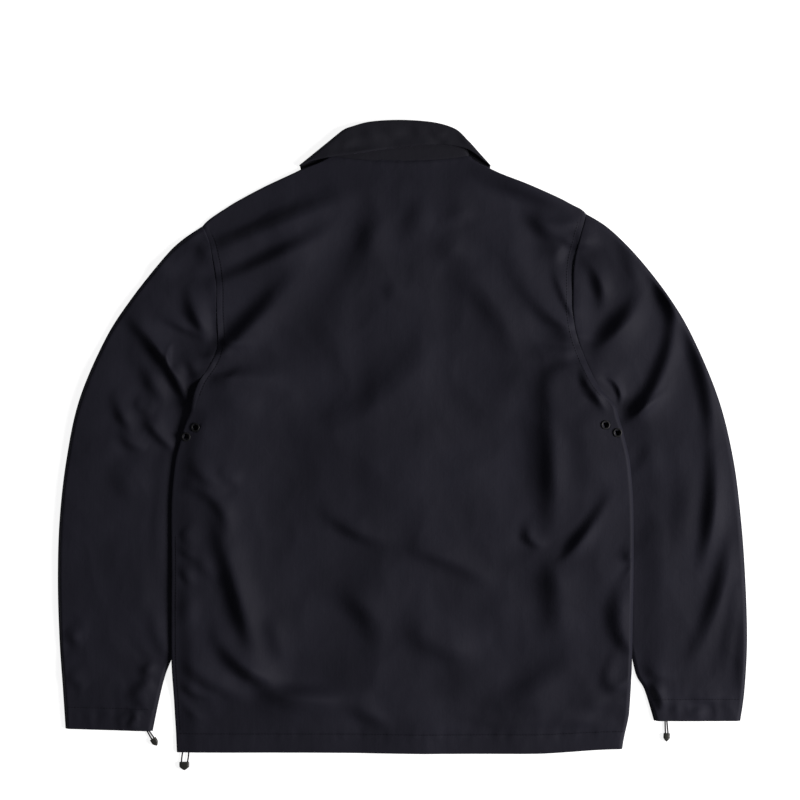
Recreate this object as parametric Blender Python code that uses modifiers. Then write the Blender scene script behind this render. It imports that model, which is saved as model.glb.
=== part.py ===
# Coach jacket laid flat, face down, its back up and its neck towards +Y.
# Metres, +Z up. The origin is the middle of the cloth's outline, on the surface it lies on.
# The wearer's left is at -X. Tables and sizes are in millimetres.

import math
from collections import namedtuple

import bpy
import bmesh
from mathutils import Vector
from mathutils.bvhtree import BVHTree

MM = 0.001

# Cloth and seams
WALL = 1.2
COLLAR_WALL = 1.5
SEAM_GAP = 0.4
ARMHOLE_GAP = 0.9
LAYERED = 3.2          # thickness of two walls lying on each other, with the air between them

# Loft: how high the upper layer stands over two flat layers, and how wide its rolled edge is
BODY_LOFT = 5.0
SLEEVE_LOFT = 7.0
ROLL_RUN = 26.0

# Where a sleeve's inner edge lies under the body's side
TUCK_LIFT = 4.8
ARMPIT_LIFT = 2.4       # more height where the sleeve folds under the armpit
TUCK_REACH = 30.0
TUCK_RAMP = 34.0
TUCK_CLEAR = 7.0       # the sleeve stays flat this far outside the body's side
ARMPIT_INSET = 3.0     # the fronts stand back this far from the sleeve at the seam's end

# Front closing, neck and hem
FRONT_LAP = 16.0       # how far each front reaches past the centre line
LAP_LIFT = 1.6
LEAF_LIFT = 2.2        # the fronts lie on the collar's points by this much
NECK_CENTRE_X = -4.0
NECK_SIDE_Y = 328.0
NECK_RADIUS = 83.0
NECK_DIP = 7.5
NECK_INSET = 1.7        # the collar's seam stands this far inside the neckline
HEM_CORNER_RISE = 5.5
CASING = 22.0           # height of the turned-up hem that holds the drawcord

# Grid steps
ROW_STEP = 19.0
BACK_COLUMNS = 27
FRONT_COLUMNS = 8
NECKLINE_ROWS = 7
SLEEVE_RINGS = 20
FIRST_RINGS = (0.0, 0.035)   # shares of the sleeve's length, close together at the armhole
EVEN_RINGS_START = 0.085
SLEEVE_FREE_POINTS = 7  # on each layer, outside the body's side
SLEEVE_TUCK_POINTS = 2  # on each layer, under the body
COLLAR_STATIONS = 36
COLLAR_CLEAR = 0.05     # the points' lower side is this far over the floor
COLLAR_FOLD_IN = 3.0    # the roll line's bend reaches this far into the stand and the fall

# Eyelets, snaps, cords and cord stops
EYELET_RADIUS = 5.2
EYELET_HOLE = 2.7
EYELET_FLANGE = 0.9
EYELET_BARREL = 3.3
SNAP_RADIUS = 6.5
SNAP_COUNT = 5
SNAP_TOP_Y = 222.0
SNAP_PITCH = 118.0
CORD_RADIUS = 0.9
CORD_HEIGHT = 1.6
CORD_PLAY = 0.4
STOP_THICKNESS = 5.0
STOP_SIDE = 2.4         # plastic beside the cord on each side
POCKET_DEPTH = 7.4

# Outline of the body panels, from the hem up, read from the photograph at 1.17 mm a pixel
Edge = namedtuple("Edge", "y x")

LEFT_SIDE = [Edge(-368, -263.8), Edge(-323, -266.2), Edge(-257, -269.7), Edge(-143, -269.7),
             Edge(-73, -269.7), Edge(-26, -265.0), Edge(9, -255.6), Edge(33, -248.0)]
LEFT_ARMHOLE = [Edge(33, -248.0), Edge(63, -238.1), Edge(85, -224.1), Edge(106, -215.9),
                Edge(150, -217.0), Edge(183, -217.3), Edge(224, -224.1), Edge(247.5, -233.4)]
LEFT_SHOULDER = [Edge(247.5, -233.4), Edge(272, -200.7), Edge(293, -162.0), Edge(314, -117.5),
                 Edge(328, -87.2)]
RIGHT_SIDE = [Edge(-368, 257.0), Edge(-323, 265.0), Edge(-257, 267.9), Edge(-143, 269.7),
              Edge(-73, 269.1), Edge(-26, 265.0), Edge(9, 256.8), Edge(33, 250.0)]
RIGHT_ARMHOLE = [Edge(33, 250.0), Edge(60, 228.7), Edge(85, 215.9), Edge(118, 204.2),
                 Edge(145, 199.5), Edge(171, 199.5), Edge(202, 200.7), Edge(235, 207.7),
                 Edge(261.5, 214.7)]
RIGHT_SHOULDER = [Edge(261.5, 214.7), Edge(272, 198.3), Edge(293, 153.9), Edge(314, 103.5),
                  Edge(328, 79.2)]
ARMPIT_Y = 33.0
SEAM_END_Y = 52.0       # below this the armhole seam runs under the body
HEM_Y = -368.0

# Outline of the sleeves, from the shoulder or from under the armpit down to the cuff
Place = namedtuple("Place", "x y")

LEFT_OUTER = [Place(-233.4, 247.5), Place(-259, 230), Place(-280, 209), Place(-318, 161),
              Place(-348, 114), Place(-378, 44), Place(-393, -26), Place(-401, -97),
              Place(-403, -167), Place(-401, -237), Place(-397, -295), Place(-394, -340)]
LEFT_INNER = [Place(-241, 20), Place(-243, -10), Place(-244, -50), Place(-244, -120),
              Place(-251, -190), Place(-264, -243), Place(-277, -277), Place(-285, -309),
              Place(-292, -343)]
RIGHT_OUTER = [Place(214.7, 261.5), Place(242, 244), Place(277, 209), Place(314, 161),
               Place(341, 114), Place(370, 44), Place(387, -26), Place(396, -97),
               Place(401, -167), Place(403, -237), Place(400, -295), Place(395, -331)]
RIGHT_INNER = [Place(237, 24), Place(242, 6), Place(244, -50), Place(244, -120),
               Place(251, -190), Place(265, -243), Place(273, -277), Place(283, -295),
               Place(294, -331)]

# Main folds: start, middle and end of each, half width, and height over the cloth round it
Fold = namedtuple("Fold", "x0 y0 x1 y1 x2 y2 width height")

BODY_FOLDS = [
    Fold(-218, 225, -132, 263, -61, 290, 17, -3.2),
    Fold(-216, 208, -132, 247, -57, 273, 15, 3.0),
    Fold(-211, 189, -132, 224, -71, 261, 15, -2.4),
    Fold(-178, 181, -125, 219, -57, 257, 16, 2.4),
    Fold(-215, 106, -164, 156, -115, 218, 18, -3.8),
    Fold(-196, 100, -145, 146, -98, 204, 16, 2.6),
    Fold(-99, 155, -61, 205, -30, 276, 22, -2.2),
    Fold(-224, 68, -164, 75, -115, 56, 16, -2.8),
    Fold(-143, 13, -59, 39, 26, 126, 24, -2.6),
    Fold(16, 290, 9, 257, -5, 222, 22, -2.0),
    Fold(120, 196, 161, 144, 203, 116, 18, -3.4),
    Fold(49, 185, 98, 147, 121, 97, 17, -2.2),
    Fold(121, 97, 161, 91, 210, 95, 15, 2.6),
    Fold(216, 90, 175, 79, 159, 51, 15, -2.8),
    Fold(159, 51, 166, -26, 168, -113, 22, -3.0),
    Fold(88, 300, 137, 284, 190, 266, 16, -2.4),
    Fold(141, 257, 161, 239, 203, 235, 15, -3.2),
    Fold(185, 194, 191, 217, 228, 228, 14, -2.6),
    Fold(231, -71, 210, -108, 182, -143, 15, -3.4),
    Fold(155, -143, 167, -178, 175, -221, 16, -2.4),
    Fold(254, -167, 245, -211, 260, -251, 15, -2.4),
    Fold(201, -244, 149, -284, 87, -312, 18, -2.2),
    Fold(-85, -177, -59, -197, -29, -249, 18, -2.6),
    Fold(-5, -223, 35, -249, 85, -265, 18, -2.6),
    Fold(-95, -88, -3, -132, 98, -174, 20, -2.6),
    Fold(-222, -232, -190, -266, -149, -292, 16, -3.6),
    Fold(-155, -290, -102, -293, -45, -295, 17, -2.8),
    Fold(-263, -66, -231, -72, -209, -114, 16, -3.0),
    Fold(-209, -114, -202, -178, -176, -254, 18, -3.4),
    Fold(-185, -110, -178, -170, -152, -240, 18, 2.4),
    Fold(-252, -32, -231, -51, -207, -64, 14, -2.4),
    Fold(-259, -265, -223, -291, -177, -312, 15, -2.4),
]

SLEEVE_FOLDS = [
    Fold(-254, 177, -249, 152, -218, 114, 13, -3.2),
    Fold(-290, 140, -258, 125, -221, 109, 13, -3.6),
    Fold(-326, 140, -300, 114, -274, 85, 16, -5.6),
    Fold(-284, 97, -263, 65, -249, 31, 14, -4.6),
    Fold(-306, 118, -284, 84, -262, 40, 15, 3.4),
    Fold(-320, 107, -302, 72, -280, 37, 14, -3.4),
    Fold(-306, 22, -287, 1, -267, -17, 15, -4.0),
    Fold(-340, 52, -332, 27, -319, 8, 14, -3.2),
    Fold(-334, 3, -321, -9, -302, -17, 13, -3.0),
    Fold(-345, -44, -322, -78, -290, -96, 18, -2.6),
    Fold(-295, -190, -290, -228, -277, -258, 14, -3.4),
    Fold(-372, -120, -352, -170, -340, -240, 20, 2.2),
    Fold(212, 189, 231, 166, 226, 142, 14, -3.0),
    Fold(273, 173, 257, 133, 217, 98, 15, -5.0),
    Fold(290, 189, 308, 132, 285, 59, 16, -5.6),
    Fold(308, 114, 287, 60, 256, 20, 15, -5.0),
    Fold(286, 130, 268, 84, 240, 62, 15, 3.4),
    Fold(325, 128, 343, 77, 354, -3, 17, -3.2),
    Fold(352, 9, 355, -73, 341, -160, 18, -2.8),
    Fold(376, -113, 355, -202, 327, -265, 18, -3.0),
    Fold(316, 63, 290, 44, 261, 24, 13, -3.4),
    Fold(332, -20, 322, -100, 318, -180, 22, 2.4),
]

# Collar stations, from the left point round the back of the neck to the right point.
# neck is the angle round the neck opening, 90 at the back; the roll and the free edge follow.
CollarRow = namedtuple("CollarRow", "neck neck_z roll_x roll_y roll_z edge_x edge_y edge_z layers")

COLLAR_ROWS = [
    CollarRow(-88, 2.6, -8, 252, 1.9, -62, 206, 0.85, 0.95),
    CollarRow(-62, 2.6, -30, 274, 1.9, -86, 228, 0.85, 0.95),
    CollarRow(-38, 2.6, -50, 304, 1.9, -106, 262, 0.85, 0.95),
    CollarRow(-17, 2.6, -62, 335, 1.9, -116, 296, 0.85, 0.95),
    CollarRow(-5, 2.7, -67, 355, 2.4, -119.4, 315.4, 0.95, 1.0),
    CollarRow(1, 3.6, -68, 358.5, 4.8, -120.2, 317.6, 4.4, 1.3),
    CollarRow(7, 4.8, -67, 359.5, 7.4, -117.0, 318.6, 8.4, 1.5),
    CollarRow(20, 6.4, -60, 361.8, 9.0, -101, 324.0, 10.4, 1.5),
    CollarRow(48, 6.8, -38, 367.5, 9.4, -56, 331.0, 11.0, 1.5),
    CollarRow(90, 6.8, -2, 369.5, 9.4, -2, 338.5, 11.0, 1.5),
    CollarRow(132, 6.8, 36, 366.8, 9.4, 42, 341.5, 11.0, 1.5),
    CollarRow(160, 6.4, 60, 360, 9.0, 74, 337.0, 10.4, 1.5),
    CollarRow(173, 4.8, 72, 350.5, 7.4, 98, 321.0, 8.4, 1.5),
    CollarRow(179, 3.6, 75, 346, 4.8, 102.5, 317.4, 4.4, 1.3),
    CollarRow(185, 2.7, 74, 342, 2.4, 102.5, 315.4, 0.95, 1.0),
    CollarRow(197, 2.6, 66, 328, 1.9, 104, 296, 0.85, 0.95),
    CollarRow(218, 2.6, 45, 302, 1.9, 96, 262, 0.85, 0.95),
    CollarRow(242, 2.6, 22, 273, 1.9, 77, 228, 0.85, 0.95),
    CollarRow(268, 2.6, 0, 252, 1.9, 54, 206, 0.85, 0.95),
]

# Where the small pieces lie
EYELET_PLACES = [Place(-241, 12), Place(-252, 1), Place(236, 15), Place(250, 6)]

CordRow = namedtuple("CordRow", "name exit_x exit_y stop_x stop_y spread turn")

CORDS = [
    CordRow("hem", -253.5, -369.0, -255.0, -380.0, 7.0, 0),
    CordRow("cuff_left", -299.5, -345.0, -291.5, -352.5, 2.6, 32),
    CordRow("cuff_right", 308.5, -331.45, 309.0, -346.5, 2.6, -4),
]


def ramp(value, start, end):
    share = min(1.0, max(0.0, (value - start) / (end - start)))
    return share * share * (3.0 - 2.0 * share)


def roll_share(distance, run=ROLL_RUN):
    # Quarter ellipse: steep at the edge, level where the run ends
    if distance >= run:
        return 1.0
    return math.sqrt(1.0 - (1.0 - max(0.0, distance) / run) ** 2)


def spline(points, share):
    # Point at a share of a smooth curve through the points
    last = len(points) - 1
    place = min(max(share, 0.0), 1.0) * last
    index = min(int(place), last - 1)
    part = place - index
    before = points[max(index - 1, 0)]
    here = points[index]
    after = points[index + 1]
    beyond = points[min(index + 2, last)]
    result = []
    for a, b, c, d in zip(before, here, after, beyond):
        slope_in = (c - a) / 2.0
        slope_out = (d - b) / 2.0
        result.append(
            (2 * part ** 3 - 3 * part ** 2 + 1) * b
            + (part ** 3 - 2 * part ** 2 + part) * slope_in
            + (-2 * part ** 3 + 3 * part ** 2) * c
            + (part ** 3 - part ** 2) * slope_out
        )
    return result


def even_curve(points, count):
    # Points at even steps of length along the smooth curve through the points
    fine = [spline(points, index / 400.0) for index in range(401)]
    lengths = [0.0]
    for first, second in zip(fine, fine[1:]):
        lengths.append(lengths[-1] + math.dist(first, second))
    result = []
    index = 0
    for step in range(count):
        wanted = lengths[-1] * step / (count - 1)
        while index < 399 and lengths[index + 1] < wanted:
            index += 1
        part = (wanted - lengths[index]) / (lengths[index + 1] - lengths[index])
        result.append([a + (b - a) * part for a, b in zip(fine[index], fine[index + 1])])
    return result


def edge_x(tables, y):
    # X of the body's edge at a height, from the first table that reaches it
    for table in tables:
        if y <= table[-1].y or table is tables[-1]:
            break
    y = min(max(y, table[0].y), table[-1].y)
    for index in range(len(table) - 1):
        if y <= table[index + 1].y:
            break
    part = (y - table[index].y) / (table[index + 1].y - table[index].y)
    return spline(table, (index + part) / (len(table) - 1))[1]


LEFT_EDGE = (LEFT_SIDE, LEFT_ARMHOLE, LEFT_SHOULDER)
RIGHT_EDGE = (RIGHT_SIDE, RIGHT_ARMHOLE, RIGHT_SHOULDER)


def fold_height(folds, x, y):
    # Sum of the folds: a smooth bell across each, fading at both ends
    total = 0.0
    for fold in folds:
        reach = fold.width * 2.2
        if not (min(fold.x0, fold.x1, fold.x2) - reach < x < max(fold.x0, fold.x1, fold.x2) + reach):
            continue
        if not (min(fold.y0, fold.y1, fold.y2) - reach < y < max(fold.y0, fold.y1, fold.y2) + reach):
            continue
        nearest = None
        middle = (fold.x1, fold.y1)
        for start, end, offset in (((fold.x0, fold.y0), middle, 0.0), (middle, (fold.x2, fold.y2), 0.5)):
            run = (end[0] - start[0], end[1] - start[1])
            share = ((x - start[0]) * run[0] + (y - start[1]) * run[1]) / (run[0] ** 2 + run[1] ** 2)
            share = min(1.0, max(0.0, share))
            distance = math.dist((x, y), (start[0] + run[0] * share, start[1] + run[1] * share))
            if nearest is None or distance < nearest[0]:
                nearest = (distance, offset + share / 2.0)
        distance, along = nearest
        fade = 0.35 + 0.65 * math.sin(math.pi * along)
        total += fold.height * fade * math.exp(-(distance / fold.width) ** 2 * 1.4)
    return total


def tuck_share(y):
    # How fully a sleeve lies under the body's side at this height
    return ramp(y, -318.0, -262.0) * (1.0 - ramp(y, SEAM_END_Y + 3.0, SEAM_END_Y + 43.0))


def under_height(x, y):
    # Underside of the front panels: on the floor, over the sleeves, or over the collar's points
    side = min(x - edge_x(LEFT_EDGE, y), edge_x(RIGHT_EDGE, y) - x)
    bump = ARMPIT_LIFT * ramp(y, -30.0, 20.0) * (1.0 - ramp(y, SEAM_END_Y + 12.0, SEAM_END_Y + 50.0))
    tuck = (TUCK_LIFT * tuck_share(y) + bump) * (1.0 - ramp(side, TUCK_REACH, TUCK_REACH + TUCK_RAMP))
    leaf = LEAF_LIFT * ramp(y, 168.0, 200.0) * (1.0 - ramp(abs(x - NECK_CENTRE_X), 128.0, 160.0))
    return max(tuck, leaf)


def lap_height(x):
    # The wearer's right front lies on the left one along the middle
    return LAP_LIFT * ramp(x, -58.0, -24.0) * (1.0 - ramp(x, 20.0, 54.0))


def body_edge_level(x, y):
    # 0 along side and shoulder edges, rising along the armhole between its two ends
    shoulder_y = LEFT_ARMHOLE[-1].y if x < 0 else RIGHT_ARMHOLE[-1].y
    if y <= ARMPIT_Y or y >= shoulder_y:
        return 0.0
    return roll_share(min(y - ARMPIT_Y, shoulder_y - y), ROLL_RUN * 1.4)


def body_top(x, y):
    # Upper surface of the back panel
    left = x - edge_x(LEFT_EDGE, y)
    right = edge_x(RIGHT_EDGE, y) - x
    level = body_edge_level(x, y)
    loft = level + (1.0 - level) * roll_share(min(left, right))
    neck = 1.0 - 0.55 * ramp(y, 286.0, 326.0)
    hem = 0.55 + 0.45 * ramp(y, HEM_Y, HEM_Y + 60.0)
    height = BODY_LOFT * loft * neck * hem
    height += fold_height(BODY_FOLDS, x, y) * loft * neck
    base = under_height(x, y) + lap_height(x) + LAYERED
    return base + max(height, 0.25 * loft)


def outside_body(x, y):
    # How far a place lies outside the body's side, or from the seam's end when it is above it
    table = LEFT_EDGE if x < 0 else RIGHT_EDGE
    if y > SEAM_END_Y:
        return math.dist((x, y), (edge_x(table, SEAM_END_Y), SEAM_END_Y))
    return abs(x) - abs(edge_x(table, y))


def sleeve_top(x, y, outer, inner, share):
    # Upper surface of a sleeve, at distances from its two folded edges
    free = outside_body(x, y) - TUCK_CLEAR
    if y > HEM_Y + 50.0:
        inner = min(inner, free)
    loft = min(roll_share(outer), roll_share(inner)) if inner > 0.0 else 0.0
    near_body = 1.0 - ramp(share, 0.0, 0.16)
    full = SLEEVE_LOFT + (BODY_LOFT - SLEEVE_LOFT) * near_body
    cuff = 1.0 - 0.35 * ramp(share, 0.9, 1.0)
    height = full * loft * cuff + fold_height(SLEEVE_FOLDS, x, y) * loft
    height += fold_height(BODY_FOLDS, x, y) * loft * near_body
    lift = under_height(x, y) * near_body * loft
    return LAYERED + lift + max(height, 0.3 * loft)


def material(name, colour, roughness, metallic=0.0):
    made = bpy.data.materials.new(name)
    made.use_nodes = True
    shader = made.node_tree.nodes["Principled BSDF"]
    shader.inputs["Base Color"].default_value = (*colour, 1.0)
    shader.inputs["Roughness"].default_value = roughness
    shader.inputs["Metallic"].default_value = metallic
    made.diffuse_color = (*colour, 1.0)
    return made


def add_object(name, mesh, surface, collection, smooth=True):
    piece = bpy.data.objects.new(name, mesh)
    piece.data.materials.append(surface)
    collection.objects.link(piece)
    if smooth:
        mesh.shade_smooth()
    return piece


def grid_mesh(name, rows):
    # Open surface from rows of points; rows run up and points run along +X, so faces look up
    shape = bmesh.new()
    corners = [[shape.verts.new(Vector(point) * MM) for point in row] for row in rows]
    for lower, upper in zip(corners, corners[1:]):
        for index in range(len(lower) - 1):
            shape.faces.new((lower[index], lower[index + 1], upper[index + 1], upper[index]))
    mesh = bpy.data.meshes.new(name)
    shape.to_mesh(mesh)
    shape.free()
    return mesh


def tube_mesh(name, rings, flip):
    # Open-ended tube from closed rings of points
    shape = bmesh.new()
    corners = [[shape.verts.new(Vector(point) * MM) for point in ring] for ring in rings]
    for lower, upper in zip(corners, corners[1:]):
        count = len(lower)
        for index in range(count):
            after = (index + 1) % count
            face = [lower[index], lower[after], upper[after], upper[index]]
            if flip:
                face.reverse()
            shape.faces.new(face)
    mesh = bpy.data.meshes.new(name)
    shape.to_mesh(mesh)
    shape.free()
    return mesh


def thicken(piece, wall, offset=-1.0):
    solid = piece.modifiers.new("wall", "SOLIDIFY")
    solid.thickness = wall * MM
    solid.offset = offset
    solid.use_even_offset = False
    return solid


def row_heights(step):
    # Heights of the rows, with one at each corner of the outline
    corners = [HEM_Y, HEM_Y + CASING, ARMPIT_Y, SEAM_END_Y]
    corners += [LEFT_ARMHOLE[-1].y, RIGHT_ARMHOLE[-1].y, NECK_SIDE_Y]
    heights = []
    for low, high in zip(corners, corners[1:]):
        count = max(1, round((high - low) / step))
        heights += [low + (high - low) * index / count for index in range(count)]
    heights.append(NECK_SIDE_Y)
    return heights


def hem_shift(x, y):
    # The hem's right corner is drawn up a little
    near = 1.0 - ramp(y, HEM_Y, HEM_Y + 60.0)
    return near * (HEM_CORNER_RISE * ramp(x, 150.0, 255.0) - 1.5 * ramp(x, -120.0, 60.0))


def neck_shift(x, y):
    # The back neck seam dips between its two ends
    left = LEFT_SHOULDER[-1].x
    right = RIGHT_SHOULDER[-1].x
    across = min(1.0, max(0.0, (x - left) / (right - left)))
    return -NECK_DIP * math.sin(math.pi * across) * ramp(y, 262.0, NECK_SIDE_Y)


def column_shares(count):
    # Across a panel: close together at the rolled edges, even between them
    edge = [0.0, 0.006, 0.02, 0.042]
    inside = count - 2 * len(edge)
    middle = [0.07 + 0.86 * index / (inside - 1) for index in range(inside)]
    return edge + middle + [1.0 - share for share in reversed(edge)]


def make_back(surface, collection):
    rows = []
    for y in row_heights(ROW_STEP):
        left = edge_x(LEFT_EDGE, y)
        right = edge_x(RIGHT_EDGE, y)
        row = []
        for share in column_shares(BACK_COLUMNS):
            x = left + (right - left) * share
            place_y = y + hem_shift(x, y) + neck_shift(x, y)
            row.append((x, place_y, body_top(x, y)))
        rows.append(row)
    back = add_object("back", grid_mesh("back", rows), surface, collection)
    thicken(back, WALL)
    return back


def neck_edge_x(y, side):
    # X of the front neckline at a height, -1 for the wearer's left and 1 for the right
    if y >= NECK_SIDE_Y:
        return NECK_CENTRE_X + side * NECK_RADIUS
    drop = (NECK_SIDE_Y - y) / NECK_RADIUS
    return NECK_CENTRE_X + side * NECK_RADIUS * math.sqrt(max(0.0, 1.0 - drop * drop))


def make_front(name, side, surface, collection):
    neck_low = NECK_SIDE_Y - NECK_RADIUS
    heights = [HEM_Y, -330.0, -300.0, -268.0, -220.0, -160.0, -100.0, -40.0]
    heights += [y for y in row_heights(ROW_STEP) if ARMPIT_Y - 22.0 < y <= neck_low]
    for index in range(NECKLINE_ROWS + 1):
        turn = math.radians(8.0 + 80.0 * index / NECKLINE_ROWS)
        heights.append(NECK_SIDE_Y - NECK_RADIUS * math.cos(turn))
    rows = []
    for y in heights:
        if side < 0:
            left = edge_x(LEFT_EDGE, y)
            right = min(FRONT_LAP, neck_edge_x(y, side)) if y > neck_low else FRONT_LAP
        else:
            right = edge_x(RIGHT_EDGE, y)
            left = max(-FRONT_LAP, neck_edge_x(y, side)) if y > neck_low else -FRONT_LAP
        inset = ARMPIT_INSET * ramp(y, ARMPIT_Y - 10.0, ARMPIT_Y + 8.0) * (1.0 - ramp(y, 70.0, 105.0))
        if side < 0:
            left += inset
        else:
            right -= inset
        row = []
        for index in range(FRONT_COLUMNS + 1):
            x = left + (right - left) * index / FRONT_COLUMNS
            z = under_height(x, y) + WALL
            if side > 0:
                z += lap_height(x)
            row.append((x, y + hem_shift(x, y), z))
        rows.append(row)
    front = add_object(name, grid_mesh(name, rows), surface, collection)
    thicken(front, WALL)
    return front


def armhole_line(edge, shoulder_y, end):
    # The body's armhole edge from the shoulder point down, as its rows draw it, then under the body
    heights = [y for y in row_heights(ROW_STEP) if SEAM_END_Y <= y <= shoulder_y]
    return [Vector((edge_x(edge, y), y)) for y in reversed(heights)] + [Vector((end.x, end.y))]


def along_line(points, share):
    # Point at a share of a line's length
    lengths = [0.0]
    for first, second in zip(points, points[1:]):
        lengths.append(lengths[-1] + (second - first).length)
    wanted = lengths[-1] * share
    for index in range(len(points) - 1):
        if wanted <= lengths[index + 1]:
            break
    part = (wanted - lengths[index]) / (lengths[index + 1] - lengths[index])
    return points[index].lerp(points[index + 1], part)


def inward(points, index, side):
    # Unit normal of a sleeve's edge, to the -X side of the way down for side -1
    before = Vector(points[max(index - 1, 0)])
    after = Vector(points[min(index + 1, len(points) - 1)])
    run = (after - before).normalized()
    return Vector((-run.y, run.x)) * side


def make_sleeve(name, side, surface, collection):
    if side < 0:
        outer = even_curve(LEFT_OUTER, 201)
        inner = even_curve(LEFT_INNER, 201)
        armhole = armhole_line(LEFT_EDGE, LEFT_ARMHOLE[-1].y, LEFT_INNER[0])
    else:
        outer = even_curve(RIGHT_OUTER, 201)
        inner = even_curve(RIGHT_INNER, 201)
        armhole = armhole_line(RIGHT_EDGE, RIGHT_ARMHOLE[-1].y, RIGHT_INNER[0])
    radius = LAYERED / 2.0
    fold_angles = [math.radians(angle) for angle in (-90, -40, 0, 40, 90)]
    shares = list(FIRST_RINGS)
    for index in range(SLEEVE_RINGS):
        shares.append(EVEN_RINGS_START + (1.0 - EVEN_RINGS_START) * index / (SLEEVE_RINGS - 1))
    rings = []
    for share in shares:
        spot = round(share * 200)
        start = Vector(outer[spot])
        end = Vector(inner[spot])
        length = (end - start).length
        seam_pull = max(0.0, 1.0 - share / (1.4 * EVEN_RINGS_START)) ** 2
        away = Vector((side * ARMHOLE_GAP, 0.0)) if share == 0.0 else Vector((0.0, 0.0))

        def across(distance):
            part = distance / length
            straight = start.lerp(end, part)
            chord = armhole[0].lerp(armhole[-1], part)
            place = straight + (along_line(armhole, part) - chord) * seam_pull + away
            if place.y > SEAM_END_Y:
                edge = abs(edge_x(LEFT_EDGE if side < 0 else RIGHT_EDGE, place.y)) + ARMHOLE_GAP
                place.x = side * max(abs(place.x), edge)
            return place

        ring = []
        inner_way = inward(inner, spot, side) if share > 0.0 else (armhole[-2] - armhole[-1]).normalized()
        for angle in fold_angles:
            place = across(radius * (1.0 - math.cos(angle)))
            ring.append((place.x, place.y, radius + radius * math.sin(angle)))
        inside = length - 2.0 * radius
        edge_part = 1.0
        while edge_part > 0.5:
            place = across(radius + inside * edge_part)
            if edge_part < 0.86 and outside_body(place.x, place.y) > TUCK_CLEAR:
                break
            edge_part -= 0.01
        parts = [edge_part * (index + 1) / SLEEVE_FREE_POINTS for index in range(SLEEVE_FREE_POINTS)]
        for index in range(SLEEVE_TUCK_POINTS):
            parts.append(edge_part + (1.0 - edge_part) * (index + 1) / (SLEEVE_TUCK_POINTS + 1))
        for part in parts:
            distance = radius + inside * part
            place = across(distance)
            z = sleeve_top(place.x, place.y, distance - radius, inside * (1.0 - part), share)
            ring.append((place.x, place.y, z))
        for angle in reversed(fold_angles):
            place = across(length) + inner_way * radius * (1.0 - math.cos(angle))
            ring.append((place.x, place.y, radius + radius * math.sin(angle)))
        for part in reversed(parts):
            place = across(radius + inside * part)
            ring.append((place.x, place.y, 0.0))
        rings.append(ring)
    sleeve = add_object(name, tube_mesh(name, rings, side < 0), surface, collection)
    thicken(sleeve, WALL)
    return sleeve


def neck_place(angle):
    # A point just inside the neck opening: its back seam above the sides, the front neckline below
    turn = math.radians(angle)
    if 0.0 <= angle <= 180.0:
        left = NECK_CENTRE_X - NECK_RADIUS + NECK_INSET
        right = NECK_CENTRE_X + NECK_RADIUS - NECK_INSET
        across = (1.0 - math.cos(turn)) / 2.0
        x = left + (right - left) * across
        dip = NECK_DIP * math.sin(math.pi * across)
        return x, NECK_SIDE_Y - dip + SEAM_GAP + 0.3
    reach = NECK_RADIUS - NECK_INSET
    return NECK_CENTRE_X - reach * math.cos(turn), NECK_SIDE_Y + reach * math.sin(turn)


def make_collar(surface, collection):
    stations = []
    for row in COLLAR_ROWS:
        x, y = neck_place(row.neck)
        stations.append((x, y, row.neck_z, row.roll_x, row.roll_y, row.roll_z,
                         row.edge_x, row.edge_y, row.edge_z, row.layers))
    rows = []
    for index in range(COLLAR_STATIONS):
        values = spline(stations, index / (COLLAR_STATIONS - 1))
        neck = Vector(values[0:3])
        roll = Vector(values[3:6])
        edge = Vector(values[6:9])
        half = values[9]
        stand_way = (roll - neck).normalized()
        fall_way = (edge - roll).normalized()
        turning = ramp(edge.z, 1.4, 8.0)
        sideways = Vector((-1.0 if edge.x < 0 else 1.0, 0.0, 0.0))
        outward = Vector((0.0, 0.0, 2.0 * turning - 1.0)) + sideways * (1.0 - abs(2.0 * turning - 1.0))
        outward.normalize()
        row = [
            neck,
            neck.lerp(roll - outward * half, 0.45),
            roll - stand_way * COLLAR_FOLD_IN - outward * half,
            roll - stand_way * 0.6 - outward * half * 0.7,
            roll + stand_way * 0.5,
            roll - stand_way * 0.6 + outward * half * 0.7,
            roll + fall_way * COLLAR_FOLD_IN + outward * half,
            (roll + outward * half).lerp(edge, 0.5),
            edge,
        ]
        for point in row:
            point.z = max(point.z, COLLAR_WALL / 2.0 + COLLAR_CLEAR)
        rows.append(row)
    mesh = grid_mesh("collar", rows)
    collar = add_object("collar", mesh, surface, collection)
    thicken(collar, COLLAR_WALL, 0.0)
    return collar


def seat_on(piece, x, y):
    # Point and normal of a piece's upper surface at a place
    shape = bmesh.new()
    shape.from_mesh(piece.data)
    shape.normal_update()
    tree = BVHTree.FromBMesh(shape)
    point, normal, _, _ = tree.ray_cast(Vector((x * MM, y * MM, 0.1)), Vector((0.0, 0.0, -1.0)))
    shape.free()
    return point, normal


def seat_height(piece, point, normal, radius):
    # How far the surface rises over the seat's plane under a disc of this radius
    across = normal.orthogonal().normalized()
    other = normal.cross(across)
    highest = 0.0
    for index in range(12):
        turn = math.tau * index / 12
        place = point + (across * math.cos(turn) + other * math.sin(turn)) * radius * MM
        spot, _ = seat_on(piece, place.x / MM, place.y / MM)
        if spot is not None:
            highest = max(highest, (spot - point).dot(normal) / MM)
    return highest


def cut(piece, cutter):
    hole = piece.modifiers.new("hole", "BOOLEAN")
    hole.operation = "DIFFERENCE"
    hole.solver = "EXACT"
    hole.object = cutter


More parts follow.
